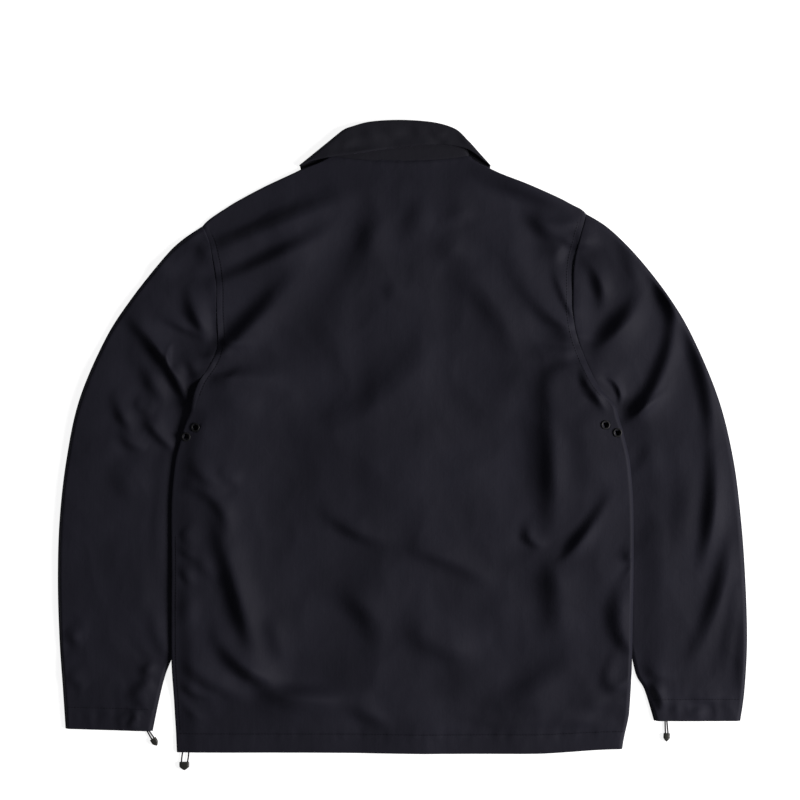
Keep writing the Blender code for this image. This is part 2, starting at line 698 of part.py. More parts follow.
def make_cutter(name, radius, depth, collection):
    shape = bmesh.new()
    bmesh.ops.create_cone(shape, cap_ends=True, segments=16, radius1=radius * MM, radius2=radius * MM,
                          depth=depth * MM)
    mesh = bpy.data.meshes.new(name)
    shape.to_mesh(mesh)
    shape.free()
    cutter = bpy.data.objects.new(name, mesh)
    cutter.hide_render = True
    cutter.display_type = "WIRE"
    collection.objects.link(cutter)
    return cutter


def turned_mesh(name, profile, steps):
    # Ring or disc: a closed profile turned about the Z axis
    shape = bmesh.new()
    corners = [shape.verts.new((radius * MM, 0.0, height * MM)) for radius, height in profile]
    edges = [shape.edges.new((corners[index - 1], corners[index])) for index in range(len(corners))]
    bmesh.ops.spin(shape, geom=corners + edges, cent=(0, 0, 0), axis=(0, 0, 1), angle=2.0 * math.pi,
                   steps=steps, use_merge=True, use_duplicate=False)
    bmesh.ops.remove_doubles(shape, verts=shape.verts, dist=0.00001)
    bmesh.ops.recalc_face_normals(shape, faces=shape.faces)
    mesh = bpy.data.meshes.new(name)
    shape.to_mesh(mesh)
    shape.free()
    return mesh


def make_eyelets(back, surface, collection, cutters):
    for number, place in enumerate(EYELET_PLACES, start=1):
        point, normal = seat_on(back, place.x, place.y)
        base = seat_height(back, point, normal, EYELET_RADIUS) + 0.3
        top = base + EYELET_FLANGE
        profile = [(EYELET_HOLE, top - 0.2), (EYELET_HOLE + 0.7, top), (EYELET_RADIUS - 0.7, top - 0.2),
                   (EYELET_RADIUS, base), (EYELET_BARREL, base), (EYELET_BARREL, -WALL),
                   (EYELET_HOLE, -WALL)]
        turn = Vector((0.0, 0.0, 1.0)).rotation_difference(normal)
        name = "eyelet_%d" % number
        ring = add_object(name, turned_mesh(name, profile, 16), surface, collection)
        ring.rotation_mode = "QUATERNION"
        ring.rotation_quaternion = turn
        ring.location = point
        hole = make_cutter("hole_" + name, EYELET_BARREL + 0.35, 5.0, cutters)
        hole.rotation_mode = "QUATERNION"
        hole.rotation_quaternion = turn
        hole.location = point
        cut(back, hole)


def make_snaps(front, surface, collection, cutters):
    for number in range(1, SNAP_COUNT + 1):
        y = SNAP_TOP_Y - SNAP_PITCH * (number - 1)
        point, _ = seat_on(front, 0.0, y)
        floor = point.z / MM - WALL
        profile = [(0.0, floor + WALL - 0.1), (0.0, floor), (SNAP_RADIUS, floor),
                   (SNAP_RADIUS, floor + WALL - 0.1)]
        name = "snap_%d" % number
        disc = add_object(name, turned_mesh(name, profile, 16), surface, collection, smooth=False)
        disc.location = (0.0, y * MM, 0.0)
        hole = make_cutter("hole_" + name, SNAP_RADIUS + 0.35, 8.0, cutters)
        hole.location = (0.0, y * MM, point.z - WALL * MM / 2.0)
        cut(front, hole)


def cord_points(row):
    # Loop out of the casing, through the cord stop's pocket and back
    turn = math.radians(row.turn)
    way = Vector((math.sin(turn), -math.cos(turn), 0.0))
    side = Vector((math.cos(turn), math.sin(turn), 0.0))
    stop = Vector((row.stop_x, row.stop_y, CORD_HEIGHT))
    exit_place = Vector((row.exit_x, row.exit_y, CORD_HEIGHT))
    half = row.spread / 2.0
    pocket = half if half > 1.5 else 1.5
    return [
        exit_place + side * -half,
        exit_place.lerp(stop, 0.5) + side * (-half - 0.3),
        stop + side * -pocket,
        stop + way * 2.4 + side * -pocket,
        stop + way * 3.9 + side * -pocket * 0.62,
        stop + way * 4.4,
        stop + way * 3.9 + side * pocket * 0.62,
        stop + way * 2.4 + side * pocket,
        stop + side * pocket,
        exit_place.lerp(stop, 0.5) + side * (half + 0.3),
        exit_place + side * half,
    ]


def make_cord(row, surface, collection):
    name = "drawcord_" + row.name
    points = even_curve(cord_points(row), 17)
    curve = bpy.data.curves.new(name, "CURVE")
    curve.dimensions = "3D"
    curve.bevel_depth = CORD_RADIUS * MM
    curve.bevel_resolution = 2
    curve.use_fill_caps = True
    line = curve.splines.new("POLY")
    line.points.add(len(points) - 1)
    for spot, point in zip(line.points, points):
        spot.co = (*(Vector(point) * MM), 1.0)
    cord = bpy.data.objects.new(name, curve)
    cord.data.materials.append(surface)
    collection.objects.link(cord)
    return cord


def make_stop(row, surface, collection, cutters):
    # Shield-shaped cord stop with a pocket that holds the loop
    name = "toggle_" + row.name
    half = max(row.spread / 2.0, 1.5) + STOP_SIDE
    shape = bmesh.new()
    outline = [(-half + 1.0, 1.0), (half - 1.0, 1.0), (half, -0.6), (half, -4.6), (half * 0.55, -7.0),
               (0.0, -8.8), (-half * 0.55, -7.0), (-half, -4.6), (-half, -0.6)]
    corners = [shape.verts.new((x * MM, y * MM, 0.0)) for x, y in outline]
    face = shape.faces.new(reversed(corners))
    raised = bmesh.ops.extrude_face_region(shape, geom=[face])
    top = [item for item in raised["geom"] if isinstance(item, bmesh.types.BMVert)]
    bmesh.ops.translate(shape, verts=top, vec=(0.0, 0.0, STOP_THICKNESS * MM))
    bmesh.ops.recalc_face_normals(shape, faces=shape.faces)
    mesh = bpy.data.meshes.new(name)
    shape.to_mesh(mesh)
    shape.free()
    stop = add_object(name, mesh, surface, collection, smooth=False)
    stop.location = (row.stop_x * MM, row.stop_y * MM, 0.0)
    stop.rotation_euler = (0.0, 0.0, math.radians(row.turn))
    rounded = stop.modifiers.new("rounded", "BEVEL")
    rounded.width = 0.7 * MM
    rounded.segments = 1
    rounded.limit_method = "ANGLE"

    pocket = bmesh.new()
    wide = (half - STOP_SIDE + CORD_RADIUS + CORD_PLAY) * 2.0
    tall = (CORD_RADIUS + CORD_PLAY) * 2.0
    middle = (0.0, (1.2 - POCKET_DEPTH / 2.0) * MM, CORD_HEIGHT * MM)
    bmesh.ops.create_cube(pocket, size=1.0)
    bmesh.ops.scale(pocket, verts=pocket.verts, vec=(wide * MM, POCKET_DEPTH * MM, tall * MM))
    bmesh.ops.translate(pocket, verts=pocket.verts, vec=middle)
    pocket_mesh = bpy.data.meshes.new("pocket_" + row.name)
    pocket.to_mesh(pocket_mesh)
    pocket.free()
    cutter = bpy.data.objects.new("pocket_" + row.name, pocket_mesh)
    cutter.location = stop.location
    cutter.rotation_euler = stop.rotation_euler
    cutter.hide_render = True
    cutter.display_type = "WIRE"
    cutters.objects.link(cutter)
    cut(stop, cutter)
    return stop


def main():
    for item in list(bpy.data.objects):
        bpy.data.objects.remove(item)
    jacket = bpy.data.collections.new("coach_jacket")
    cutters = bpy.data.collections.new("cutters")
    for collection in (jacket, cutters):
        bpy.context.scene.collection.children.link(collection)

    cloth = material("nylon cloth", (0.014, 0.014, 0.020), 0.55)
    sleeve_cloth = material("nylon cloth sleeve", (0.014, 0.014, 0.020), 0.55)
    front_cloth = material("nylon cloth front", (0.014, 0.014, 0.020), 0.55)
    collar_cloth = material("nylon cloth collar", (0.014, 0.014, 0.020), 0.55)
    painted = material("painted brass", (0.006, 0.006, 0.007), 0.35, 1.0)
    cord = material("elastic cord", (0.008, 0.008, 0.010), 0.7)
    plastic = material("moulded plastic", (0.075, 0.078, 0.065), 0.5)

    back = make_back(cloth, jacket)
    front_left = make_front("front_left", -1, front_cloth, jacket)
    make_front("front_right", 1, front_cloth, jacket)
    make_sleeve("sleeve_left", -1, sleeve_cloth, jacket)
    make_sleeve("sleeve_right", 1, sleeve_cloth, jacket)
    make_collar(collar_cloth, jacket)
    make_eyelets(back, painted, jacket, cutters)
    make_snaps(front_left, painted, jacket, cutters)
    for row in CORDS:
        make_cord(row, cord, jacket)
        make_stop(row, plastic, jacket, cutters)


main()
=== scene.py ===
import math
import random
from collections import namedtuple

import bpy
import bmesh
import numpy as np
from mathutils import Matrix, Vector, noise


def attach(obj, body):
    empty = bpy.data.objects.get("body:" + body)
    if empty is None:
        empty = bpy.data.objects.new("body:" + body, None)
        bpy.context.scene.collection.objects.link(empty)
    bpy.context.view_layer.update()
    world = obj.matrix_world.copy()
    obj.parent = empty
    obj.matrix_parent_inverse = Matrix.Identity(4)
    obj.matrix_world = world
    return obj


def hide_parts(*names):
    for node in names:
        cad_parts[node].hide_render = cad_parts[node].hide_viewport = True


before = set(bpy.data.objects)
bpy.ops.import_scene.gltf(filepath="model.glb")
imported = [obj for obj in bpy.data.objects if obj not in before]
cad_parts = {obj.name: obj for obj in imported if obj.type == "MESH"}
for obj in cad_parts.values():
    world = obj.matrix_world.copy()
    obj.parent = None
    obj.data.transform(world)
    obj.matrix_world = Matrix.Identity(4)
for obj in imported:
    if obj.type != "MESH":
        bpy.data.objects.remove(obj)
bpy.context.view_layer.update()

# Coach jacket laid flat, face down, seen from straight above. Tables are in millimetres.
mm = 0.001
random.seed(7)
stage = bpy.context.scene


def linear(hexText):
    # sRGB hex to the linear colour that the shaders take
    channels = [int(hexText[at:at + 2], 16) / 255 for at in (1, 3, 5)]
    return tuple(c / 12.92 if c <= 0.04045 else ((c + 0.055) / 1.055) ** 2.4 for c in channels) + (1.0,)


def addNode(tree, kind, settings=None, values=None, links=None):
    # one shader node: its own settings, its socket values, and socket = (node, output) links
    node = tree.nodes.new(kind)
    for name, value in (settings or {}).items():
        setattr(node, name, value)
    for name, value in (values or {}).items():
        node.inputs[name].default_value = value
    for name, (source, output) in (links or {}).items():
        tree.links.new(source.outputs[output], node.inputs[name])
    return node


def startFinish(name, values):
    # a new material with plain values on its shader, and the piece's own coordinates for its patterns
    made = bpy.data.materials.new(name)
    made.use_nodes = True
    tree = made.node_tree
    shader = tree.nodes["Principled BSDF"]
    for socket, value in values.items():
        shader.inputs[socket].default_value = value
    return made, tree, shader, addNode(tree, "ShaderNodeTexCoord")


def patternFinish(name, values, pattern, bump=None, tones=None):
    # a finish with one pattern, which gives its relief (strength, height in metres) and its two tones
    made, tree, shader, place = startFinish(name, values)
    relief = addNode(tree, *pattern, {"Vector": (place, "Object")})
    if tones:
        tone = addNode(tree, "ShaderNodeValToRGB", links={"Fac": (relief, "Fac")})
        for element, colour in zip(tone.color_ramp.elements, tones):
            element.color = linear(colour)
        tree.links.new(tone.outputs["Color"], shader.inputs["Base Color"])
    if bump:
        dent = addNode(tree, "ShaderNodeBump", values={"Strength": bump[0], "Distance": bump[1]},
                       links={"Height": (relief, "Fac")})
        tree.links.new(dent.outputs["Normal"], shader.inputs["Normal"])
    return made


# Camera, light and floor, in metres
view = {"height": 2.6, "lens": 100.0, "sensor": 36.0, "nearClip": 0.05, "x": -0.0029, "y": 0.0439}

lights = {
    "keyRight": {"place": (3.28, -0.4, 1.98), "aim": (0.0, 0.0, 0.0), "size": 1.9, "watts": 318.0,
                 "colour": "#fffbfb"},
    "topSoft": {"place": (0.2, 2.6, 2.2), "aim": (0.0, 0.05, 0.0), "size": 1.4, "watts": 13.0,
                "colour": "#fbfbff"},
    "fillLeft": {"place": (-2.2, -0.6, 2.2), "aim": (0.0, 0.0, 0.0), "size": 1.8, "watts": 6.0,
                 "colour": "#f2f2ff"},
}
skyLook = {"colour": "#ffffff", "strength": 0.07}
floorLook = {"tones": ("#969696", "#9c9c9c"), "glow": 0.86, "patches": 6.0, "half": 4.0, "z": -0.0004}


def opalAcrylic():
    # opal acrylic of a light table, lit a little from below: plain white, with hardly a shade round
    # the cloth
    return patternFinish("opalAcrylic", {
        "Roughness": 0.95, "Specular IOR Level": 0.1,
        "Emission Color": linear("#ffffff"), "Emission Strength": floorLook["glow"],
    }, ("ShaderNodeTexNoise", {}, {"Scale": floorLook["patches"], "Detail": 2.0}), tones=floorLook["tones"])


def makeStudio():
    # the camera looks straight down, which is how an unturned camera stands
    camera = bpy.data.objects.new("camera", bpy.data.cameras.new("camera"))
    camera.data.lens = view["lens"]
    camera.data.sensor_width = view["sensor"]
    camera.data.clip_start = view["nearClip"]
    camera.location = (view["x"], view["y"], view["height"])
    stage.collection.objects.link(camera)
    stage.camera = camera
    for name, row in lights.items():
        lamp = bpy.data.lights.new(name, "AREA")
        lamp.shape = "DISK"
        lamp.size = row["size"]
        lamp.energy = row["watts"]
        lamp.color = linear(row["colour"])[:3]
        holder = bpy.data.objects.new(name, lamp)
        holder.location = row["place"]
        aim = Vector(row["aim"]) - Vector(row["place"])
        holder.rotation_euler = aim.to_track_quat("-Z", "Y").to_euler()
        stage.collection.objects.link(holder)
    world = bpy.data.worlds.new("studio")
    world.use_nodes = True
    sky = world.node_tree.nodes["Background"]
    sky.inputs["Color"].default_value = linear(skyLook["colour"])
    sky.inputs["Strength"].default_value = skyLook["strength"]
    stage.world = world
    stage.view_settings.view_transform = "Standard"
    shape = bmesh.new()
    bmesh.ops.create_grid(shape, x_segments=1, y_segments=1, size=floorLook["half"])
    mesh = bpy.data.meshes.new("floor")
    shape.to_mesh(mesh)
    shape.free()
    mesh.materials.append(opalAcrylic())
    floor = bpy.data.objects.new("floor", mesh)
    floor.location = (0.0, 0.0, floorLook["z"])
    stage.collection.objects.link(floor)


makeStudio()
print("studio ready")


# Materials. Bumps are given as strength and height in metres.
clothLook = {
    # collar is the shell's tone drawn a little darker, as painted shade on the folded collar
    "shell": "#18181f", "collar": "#17171c", "sheen": "#9a96b4", "sheenWeight": 0.04,
    "sheenRoughness": 0.42, "thread": 0.55, "roughness": 0.66, "ior": 1.53, "gloss": 0.05,
    "weaveBump": (0.25, 0.00008), "crumpleBump": (0.5, 0.0007), "slubBump": (0.42, 0.00032),
    "patchShares": (0.86, 1.12), "patchEnds": (0.3, 0.7),
}


def nylonTaffeta(name, tone):
    # nylon taffeta, woven and calendered: near black with a blue-violet cast, a soft satin gloss on
    # the folds and a fine even grain; its 0.2 mm threads are drawn at 0.55 mm so that they show
    made, tree, shader, place = startFinish(name, {
        "Roughness": clothLook["roughness"], "IOR": clothLook["ior"],
        "Specular IOR Level": clothLook["gloss"],
        "Sheen Weight": clothLook["sheenWeight"], "Sheen Roughness": clothLook["sheenRoughness"],
        "Sheen Tint": linear(clothLook["sheen"]),
    })
    own = {"Vector": (place, "Object")}
    waveScale = 1.0 / (clothLook["thread"] * mm) / 20.0 * math.pi  # one wave is two threads wide
    weave = addNode(tree, "ShaderNodeMath", {"operation": "MULTIPLY"})
    for socket, way in enumerate("XY"):
        threads = addNode(tree, "ShaderNodeTexWave", {"bands_direction": way},
                          {"Scale": waveScale, "Distortion": 0.6, "Detail": 1.0}, own)
        tree.links.new(threads.outputs["Fac"], weave.inputs[socket])
    # creases about 10 mm apart, and slubs about 4 mm apart that run along the jacket
    crumpled = addNode(tree, "ShaderNodeTexNoise", None,
                       {"Scale": 95.0, "Detail": 4.0, "Roughness": 0.55, "Distortion": 0.4}, own)
    drawn = addNode(tree, "ShaderNodeMapping", values={"Scale": (1.0, 0.08, 1.0)}, links=own)
    slub = addNode(tree, "ShaderNodeTexNoise", None, {"Scale": 260.0, "Detail": 4.0, "Roughness": 0.7},
                   {"Vector": (drawn, "Vector")})
    below = {}
    for source, output, key in ((weave, "Value", "weaveBump"), (crumpled, "Fac", "crumpleBump"),
                                (slub, "Fac", "slubBump")):
        strength, height = clothLook[key]
        bump = addNode(tree, "ShaderNodeBump", values={"Strength": strength, "Distance": height},
                       links={"Height": (source, output), **below})
        below = {"Normal": (bump, "Normal")}
    tree.links.new(bump.outputs["Normal"], shader.inputs["Normal"])
    patch = addNode(tree, "ShaderNodeTexNoise", None, {"Scale": 11.0, "Detail": 3.0}, own)
    shade = addNode(tree, "ShaderNodeValToRGB", links={"Fac": (patch, "Fac")})
    rows = zip(shade.color_ramp.elements, clothLook["patchEnds"], clothLook["patchShares"])
    for element, position, share in rows:
        element.position = position
        element.color = tuple(c * share for c in linear(tone)[:3]) + (1.0,)
    tree.links.new(shade.outputs["Color"], shader.inputs["Base Color"])
    return made


def polyesterThreadShaded():
    # spun polyester sewing thread: twisted and matt; coloured darker than the cloth as painted shade for the
    # shadow along the stitched seam lines
    return patternFinish("polyesterThreadShaded", {
        "Base Color": linear("#0c0c11"), "Roughness": 0.85, "Specular IOR Level": 0.06,
    }, ("ShaderNodeTexWave", {"bands_direction": "DIAGONAL"}, {"Scale": 900.0}), (0.4, 0.0001))


def paintedBrass():
    # brass eyelet with black stove paint: smooth and nearly matt, with a faint orange peel
    return patternFinish("paintedBrass", {
        "Base Color": linear("#070709"), "Roughness": 0.55, "Specular IOR Level": 0.2,
        "Coat Weight": 0.05, "Coat Roughness": 0.2,
    }, ("ShaderNodeTexNoise", {}, {"Scale": 1400.0, "Detail": 1.0}), (0.2, 0.00005))


def braidedElastic():
    # round braided elastic: matt black, with slanting plaits about 2 mm apart
    return patternFinish("braidedElastic", {
        "Roughness": 0.75, "Specular IOR Level": 0.25,
    }, ("ShaderNodeTexWave", {"bands_direction": "DIAGONAL"}, {"Scale": 160.0, "Distortion": 1.5}),
        (0.6, 0.0002), ("#0c0c0f", "#1d1d22"))


def mouldedAcetal():
    # injection-moulded acetal: dark grey-olive, waxy, with a fine spark-eroded grain
    return patternFinish("mouldedAcetal", {"Roughness": 0.48, "IOR": 1.48},
                         ("ShaderNodeTexNoise", {}, {"Scale": 1800.0, "Detail": 2.0}),
                         (0.4, 0.0001), ("#10110c", "#1d1e18"))


finish = {
    "shell": nylonTaffeta("nylonTaffeta", clothLook["shell"]),
    # the collar's copy of the cloth takes the darker collar tone: painted shade for its shaded stand and fall
    "collar": nylonTaffeta("nylonTaffetaCollarShaded", clothLook["collar"]),
    "thread": polyesterThreadShaded(),
    "metal": paintedBrass(),
    "cord": braidedElastic(),
    "plastic": mouldedAcetal(),
}


def cubic(part, before, start, end, after):
    # smooth way from start to end, with slopes taken from the points before and after them
    return ((2 * part ** 3 - 3 * part ** 2 + 1) * start
            + (part ** 3 - 2 * part ** 2 + part) * (end - before) / 2
            + (-2 * part ** 3 + 3 * part ** 2) * end
            + (part ** 3 - part ** 2) * (after - start) / 2)


def spline(points, share):
    # point at a share of a smooth curve through the points
    last = len(points) - 1
    place = min(max(share, 0.0), 1.0) * last
    index = min(int(place), last - 1)
    four = [points[max(index - 1, 0)], points[index], points[index + 1], points[min(index + 2, last)]]
    return [cubic(place - index, *values) for values in zip(*four)]


def evenCurve(points, count, fineSteps=400):
    # points at even steps of length along the smooth curve through the points
    fine = [spline(points, index / fineSteps) for index in range(fineSteps + 1)]
    lengths = np.concatenate([[0.0], np.cumsum([math.dist(a, b) for a, b in zip(fine, fine[1:])])])
    wanted = np.linspace(0.0, lengths[-1], count)
    return np.stack([np.interp(wanted, lengths, values) for values in zip(*fine)], 1)


def makePiece(name, shape, material):
    # smooth mesh object from a finished bmesh
    bmesh.ops.recalc_face_normals(shape, faces=shape.faces)
    mesh = bpy.data.meshes.new(name)
    shape.to_mesh(mesh)
    shape.free()
    mesh.shade_smooth()
    mesh.materials.append(material)
    made = bpy.data.objects.new(name, mesh)
    stage.collection.objects.link(made)
    return made


# Drawcord loops, out of the casings and through the cord stops. The stop stands where its cord enters
# it, and turn is in degrees.
CordRow = namedtuple("CordRow", "name exitX exitY stopX stopY spread turn")
cordRows = [
    CordRow("hem", -253.3, -366.8, -255.0, -380.0, 7.0, 0),
    CordRow("cuff_left", -298.4, -341.5, -291.5, -352.5, 1.9, 32),
    CordRow("cuff_right", 308.0, -329.0, 309.0, -346.5, 1.9, -4),
]
cordSizes = {
    "radius": 0.9, "height": 1.6, "leastAside": 1.5, "bulge": 0.3,
    "straight": 2.4, "bend": 3.9, "bendShare": 0.62, "reach": 4.4, "points": 41,
}
stopLook = {
    # from the eyes to the point: place along the stop, share of its half width
    "profile": [(1.0, 0.86), (0.6, 0.97), (-0.6, 1.0), (-2.6, 1.0), (-4.6, 0.97), (-6.0, 0.76), (-7.2, 0.5),
                (-8.2, 0.24), (-8.8, 0.06)],
    "sections": 34, "around": 28, "beside": 2.4, "middle": 2.5, "thick": 2.35, "floor": 0.05,
    "rib": 0.22, "ribWaves": 11, "ribsFrom": 0.25, "ribsTo": 0.9,
    "eyeRadius": 1.25, "eyeDepth": 14.0, "eyeY": 1.0,
}


def eyeAside(row):
    return max(row.spread / 2, cordSizes["leastAside"])


def cordRoute(row):
    # down one side, round inside the stop and up the other side
    turn = math.radians(row.turn)
    way = Vector((math.sin(turn), -math.cos(turn), 0.0))
    side = Vector((math.cos(turn), math.sin(turn), 0.0))
    stop = Vector((row.stopX, row.stopY, cordSizes["height"]))
    start = Vector((row.exitX, row.exitY, cordSizes["height"]))
    half, pocket = row.spread / 2, eyeAside(row)

    def leg(aside):
        return [start + aside * half, start.lerp(stop, 0.5) + aside * (half + cordSizes["bulge"]),
                stop + aside * pocket, stop + way * cordSizes["straight"] + aside * pocket,
                stop + way * cordSizes["bend"] + aside * pocket * cordSizes["bendShare"]]

    return leg(-side) + [stop + way * cordSizes["reach"]] + leg(side)[::-1]


def makeCord(row, stop):
    points = evenCurve(cordRoute(row), cordSizes["points"]) * mm
    curve = bpy.data.curves.new("elastic_" + row.name, "CURVE")
    curve.dimensions = "3D"
    curve.bevel_depth = cordSizes["radius"] * mm
    curve.bevel_resolution = 3
    curve.use_fill_caps = True
    line = curve.splines.new("POLY")
    line.points.add(len(points) - 1)
    for spot, point in zip(line.points, points):
        spot.co = (*point, 1.0)
    curve.materials.append(finish["cord"])
    cord = bpy.data.objects.new("elastic_" + row.name, curve)
    stage.collection.objects.link(cord)
    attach(cord, "root")
    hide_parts("drawcord_" + row.name)


def cutEye(stop, x):
    # bores one eye for the cord, along the stop
    eye = bpy.data.meshes.new("eyeCutter")
    tool = bmesh.new()
    radius = stopLook["eyeRadius"] * mm
    bmesh.ops.create_cone(tool, cap_ends=True, segments=20, radius1=radius, radius2=radius,
                          depth=stopLook["eyeDepth"] * mm)
    tool.to_mesh(eye)
    tool.free()
    cutter = bpy.data.objects.new("eyeCutter", eye)
    cutter.rotation_euler = (math.pi / 2, 0.0, 0.0)
    cutter.location = (x * mm, stopLook["eyeY"] * mm, cordSizes["height"] * mm)
    stage.collection.objects.link(cutter)
    hole = stop.modifiers.new("eye", "BOOLEAN")
    hole.operation = "DIFFERENCE"
    hole.object = cutter
    bpy.context.view_layer.objects.active = stop
    bpy.ops.object.modifier_apply(modifier="eye")
    bpy.data.objects.remove(cutter)


def makeStop(row):
    # shield-shaped cord stop: two eyes at the top, ribs for the thumb, rounded all over
    half = eyeAside(row) + stopLook["beside"]
    sections, around = stopLook["sections"], stopLook["around"]
    shape = bmesh.new()
    rings = []
    for index in range(sections):
        share = index / (sections - 1)
        y, width = spline(stopLook["profile"], share)
        end = min(1.0, (share + 0.02) / 0.07, (1.02 - share) / 0.1)  # thins quickly at both ends
        rib = 0.0
        if stopLook["ribsFrom"] < share < stopLook["ribsTo"]:
            rib = stopLook["rib"] * max(0.0, math.sin(share * math.pi * stopLook["ribWaves"]))
        ring = []
        for turnStep in range(around):
            angle = math.tau * turnStep / around
            c, s = math.cos(angle), math.sin(angle)
            x = half * width * math.copysign(abs(c) ** 0.7, c)
            thick = stopLook["thick"] * end + rib - stopLook["rib"]
            z = stopLook["middle"] + thick * math.copysign(abs(s) ** 0.55, s)
            ring.append(shape.verts.new((x * mm, y * mm, max(z, stopLook["floor"]) * mm)))
        rings.append(ring)
    for lower, upper in zip(rings, rings[1:]):
        for index in range(around):
            after = (index + 1) % around
            shape.faces.new((lower[index], upper[index], upper[after], lower[after]))
    shape.faces.new(rings[0])
    shape.faces.new(reversed(rings[-1]))
    stop = makePiece("cord_stop_" + row.name, shape, finish["plastic"])
    for side in (-1, 1):
        cutEye(stop, side * eyeAside(row))
    stop.location = (row.stopX * mm, row.stopY * mm, 0.0)
    stop.rotation_euler = (0.0, 0.0, math.radians(row.turn))
    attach(stop, "root")
    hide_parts("toggle_" + row.name)
    return stop


for row in cordRows:
    makeCord(row, makeStop(row))
print("cords ready")


# Outline of the jacket
Edge = namedtuple("Edge", "y x")
leftEdge = [Edge(-368, -263.8), Edge(-323, -266.2), Edge(-257, -269.7), Edge(-143, -269.7), Edge(-73, -269.7),
            Edge(-26, -265.0), Edge(9, -255.6), Edge(33, -248.0), Edge(63, -238.1), Edge(85, -224.1),
            Edge(106, -215.9), Edge(150, -217.0), Edge(183, -217.3), Edge(224, -224.1), Edge(247.5, -233.4),
            Edge(272, -200.7), Edge(293, -162.0), Edge(314, -117.5), Edge(328, -87.2)]
leftBreaks = [0, 7, 14, 18]
rightEdge = [Edge(-368, 257.0), Edge(-323, 265.0), Edge(-257, 267.9), Edge(-143, 269.7), Edge(-73, 269.1),
             Edge(-26, 265.0), Edge(9, 256.8), Edge(33, 250.0), Edge(60, 228.7), Edge(85, 215.9),
             Edge(118, 204.2), Edge(145, 199.5), Edge(171, 199.5), Edge(202, 200.7), Edge(235, 207.7),
             Edge(261.5, 214.7), Edge(272, 198.3), Edge(293, 153.9), Edge(314, 103.5), Edge(328, 79.2)]
rightBreaks = [0, 7, 15, 19]

Place = namedtuple("Place", "x y")
leftOuter = [Place(-233.4, 247.5), Place(-259, 230), Place(-280, 209), Place(-318, 161), Place(-348, 114),
             Place(-378, 44), Place(-393, -26), Place(-401, -97), Place(-403, -167), Place(-401, -237),
             Place(-397, -295), Place(-394, -340)]
leftInner = [Place(-241, 20), Place(-243, -10), Place(-244, -50), Place(-244, -120), Place(-251, -190),
             Place(-264, -243), Place(-277, -277), Place(-285, -309), Place(-292, -343)]
rightOuter = [Place(214.7, 261.5), Place(242, 244), Place(277, 209), Place(314, 161), Place(341, 114),
              Place(370, 44), Place(387, -26), Place(396, -97), Place(401, -167), Place(403, -237),
              Place(400, -295), Place(395, -331)]
rightInner = [Place(237, 24), Place(242, 6), Place(244, -50), Place(244, -120), Place(251, -190),
              Place(265, -243), Place(273, -277), Place(283, -295), Place(294, -331)]

# layered is the top of the lower layers, on which the back and the sleeves' tops lie; wall is the
# solids' thickness of cloth, and cloth is the thickness drawn here
sizes = {
    "layered": 3.2, "wall": 1.2, "cloth": 0.55, "bodyLoft": 4.5, "sleeveLoft": 4.8,
    "roll": 5.0, "sleeveRoll": 3.6, "tuckLift": 5.8, "armpitLift": 2.4, "tuckReach": 30.0, "tuckRamp": 34.0,
    "bridge": 115.0, "tuckUnder": 3.0,
    "lapLift": 1.6, "leafLift": 2.2, "frontLap": 16.0,
    "neckX": -4.0, "neckY": 328.0, "neckRadius": 83.0, "neckDip": 7.5, "neckInset": 1.7,
    "neckDipFrom": 262.0, "hem": -368.0, "hemRise": 5.5, "hemSag": 1.5, "casing": 22.0, "cuffCasing": 25.5,
    "armpitY": 33.0, "seamEndY": 52.0, "leftShoulderY": 247.5, "rightShoulderY": 261.5,
}

# Where one layer comes in over another and where it ends: y along the jacket, or x across it
overlaps = {
    "tuckIn": (-318.0, -262.0), "tuckOut": (55.0, 95.0),
    "armpitIn": (-30.0, 20.0), "armpitOut": (64.0, 102.0),
    "leafIn": (168.0, 200.0), "leafAside": (128.0, 160.0),
    "lapIn": (-58.0, -24.0), "lapOut": (20.0, 54.0),
}


def ramp(value, start, end):
    share = np.clip((np.asarray(value, float) - start) / (end - start), 0.0, 1.0)
    return share * share * (3.0 - 2.0 * share)


def rollShare(distance, run=sizes["roll"]):
    # quarter ellipse: steep at the edge, level where the run ends
    near = np.clip(np.asarray(distance, float) / run, 0.0, 1.0)
    return np.sqrt(1.0 - (1.0 - near) ** 2)


def edgeX(table, breaks, y):
    # x of the body's edge at a height: smooth between the corners of the outline
    y = np.clip(np.asarray(y, float), table[0].y, table[-1].y)
    result = np.zeros_like(y)
    for first, last in zip(breaks, breaks[1:]):
        rows = table[first:last + 1]
        ys = np.array([row.y for row in rows], float)
        xs = np.array([row.x for row in rows], float)
        inside = (y >= ys[0]) if first == 0 else (y > ys[0])
        inside &= y <= ys[-1]
        if not inside.any():
            continue
        index = np.clip(np.searchsorted(ys, y[inside], side="left") - 1, 0, len(rows) - 2)
        part = (y[inside] - ys[index]) / (ys[index + 1] - ys[index])
        result[inside] = cubic(part, xs[np.maximum(index - 1, 0)], xs[index], xs[index + 1],
                               xs[np.minimum(index + 2, len(rows) - 1)])
    return result


def bodyLeft(y):
    return edgeX(leftEdge, leftBreaks, y)


def bodyRight(y):
    return edgeX(rightEdge, rightBreaks, y)


# Folds as they lie: start, middle and end, half width of the slope, and its drop. The cloth is high on
# the side towards the key light and falls away from it; a negative drop turns that round. Pinch says
# which end is gathered tight: -1 the start, 1 the end, 0 both fade.
Fold = namedtuple("Fold", "x0 y0 x1 y1 x2 y2 wide drop pinch", defaults=(0.0,))

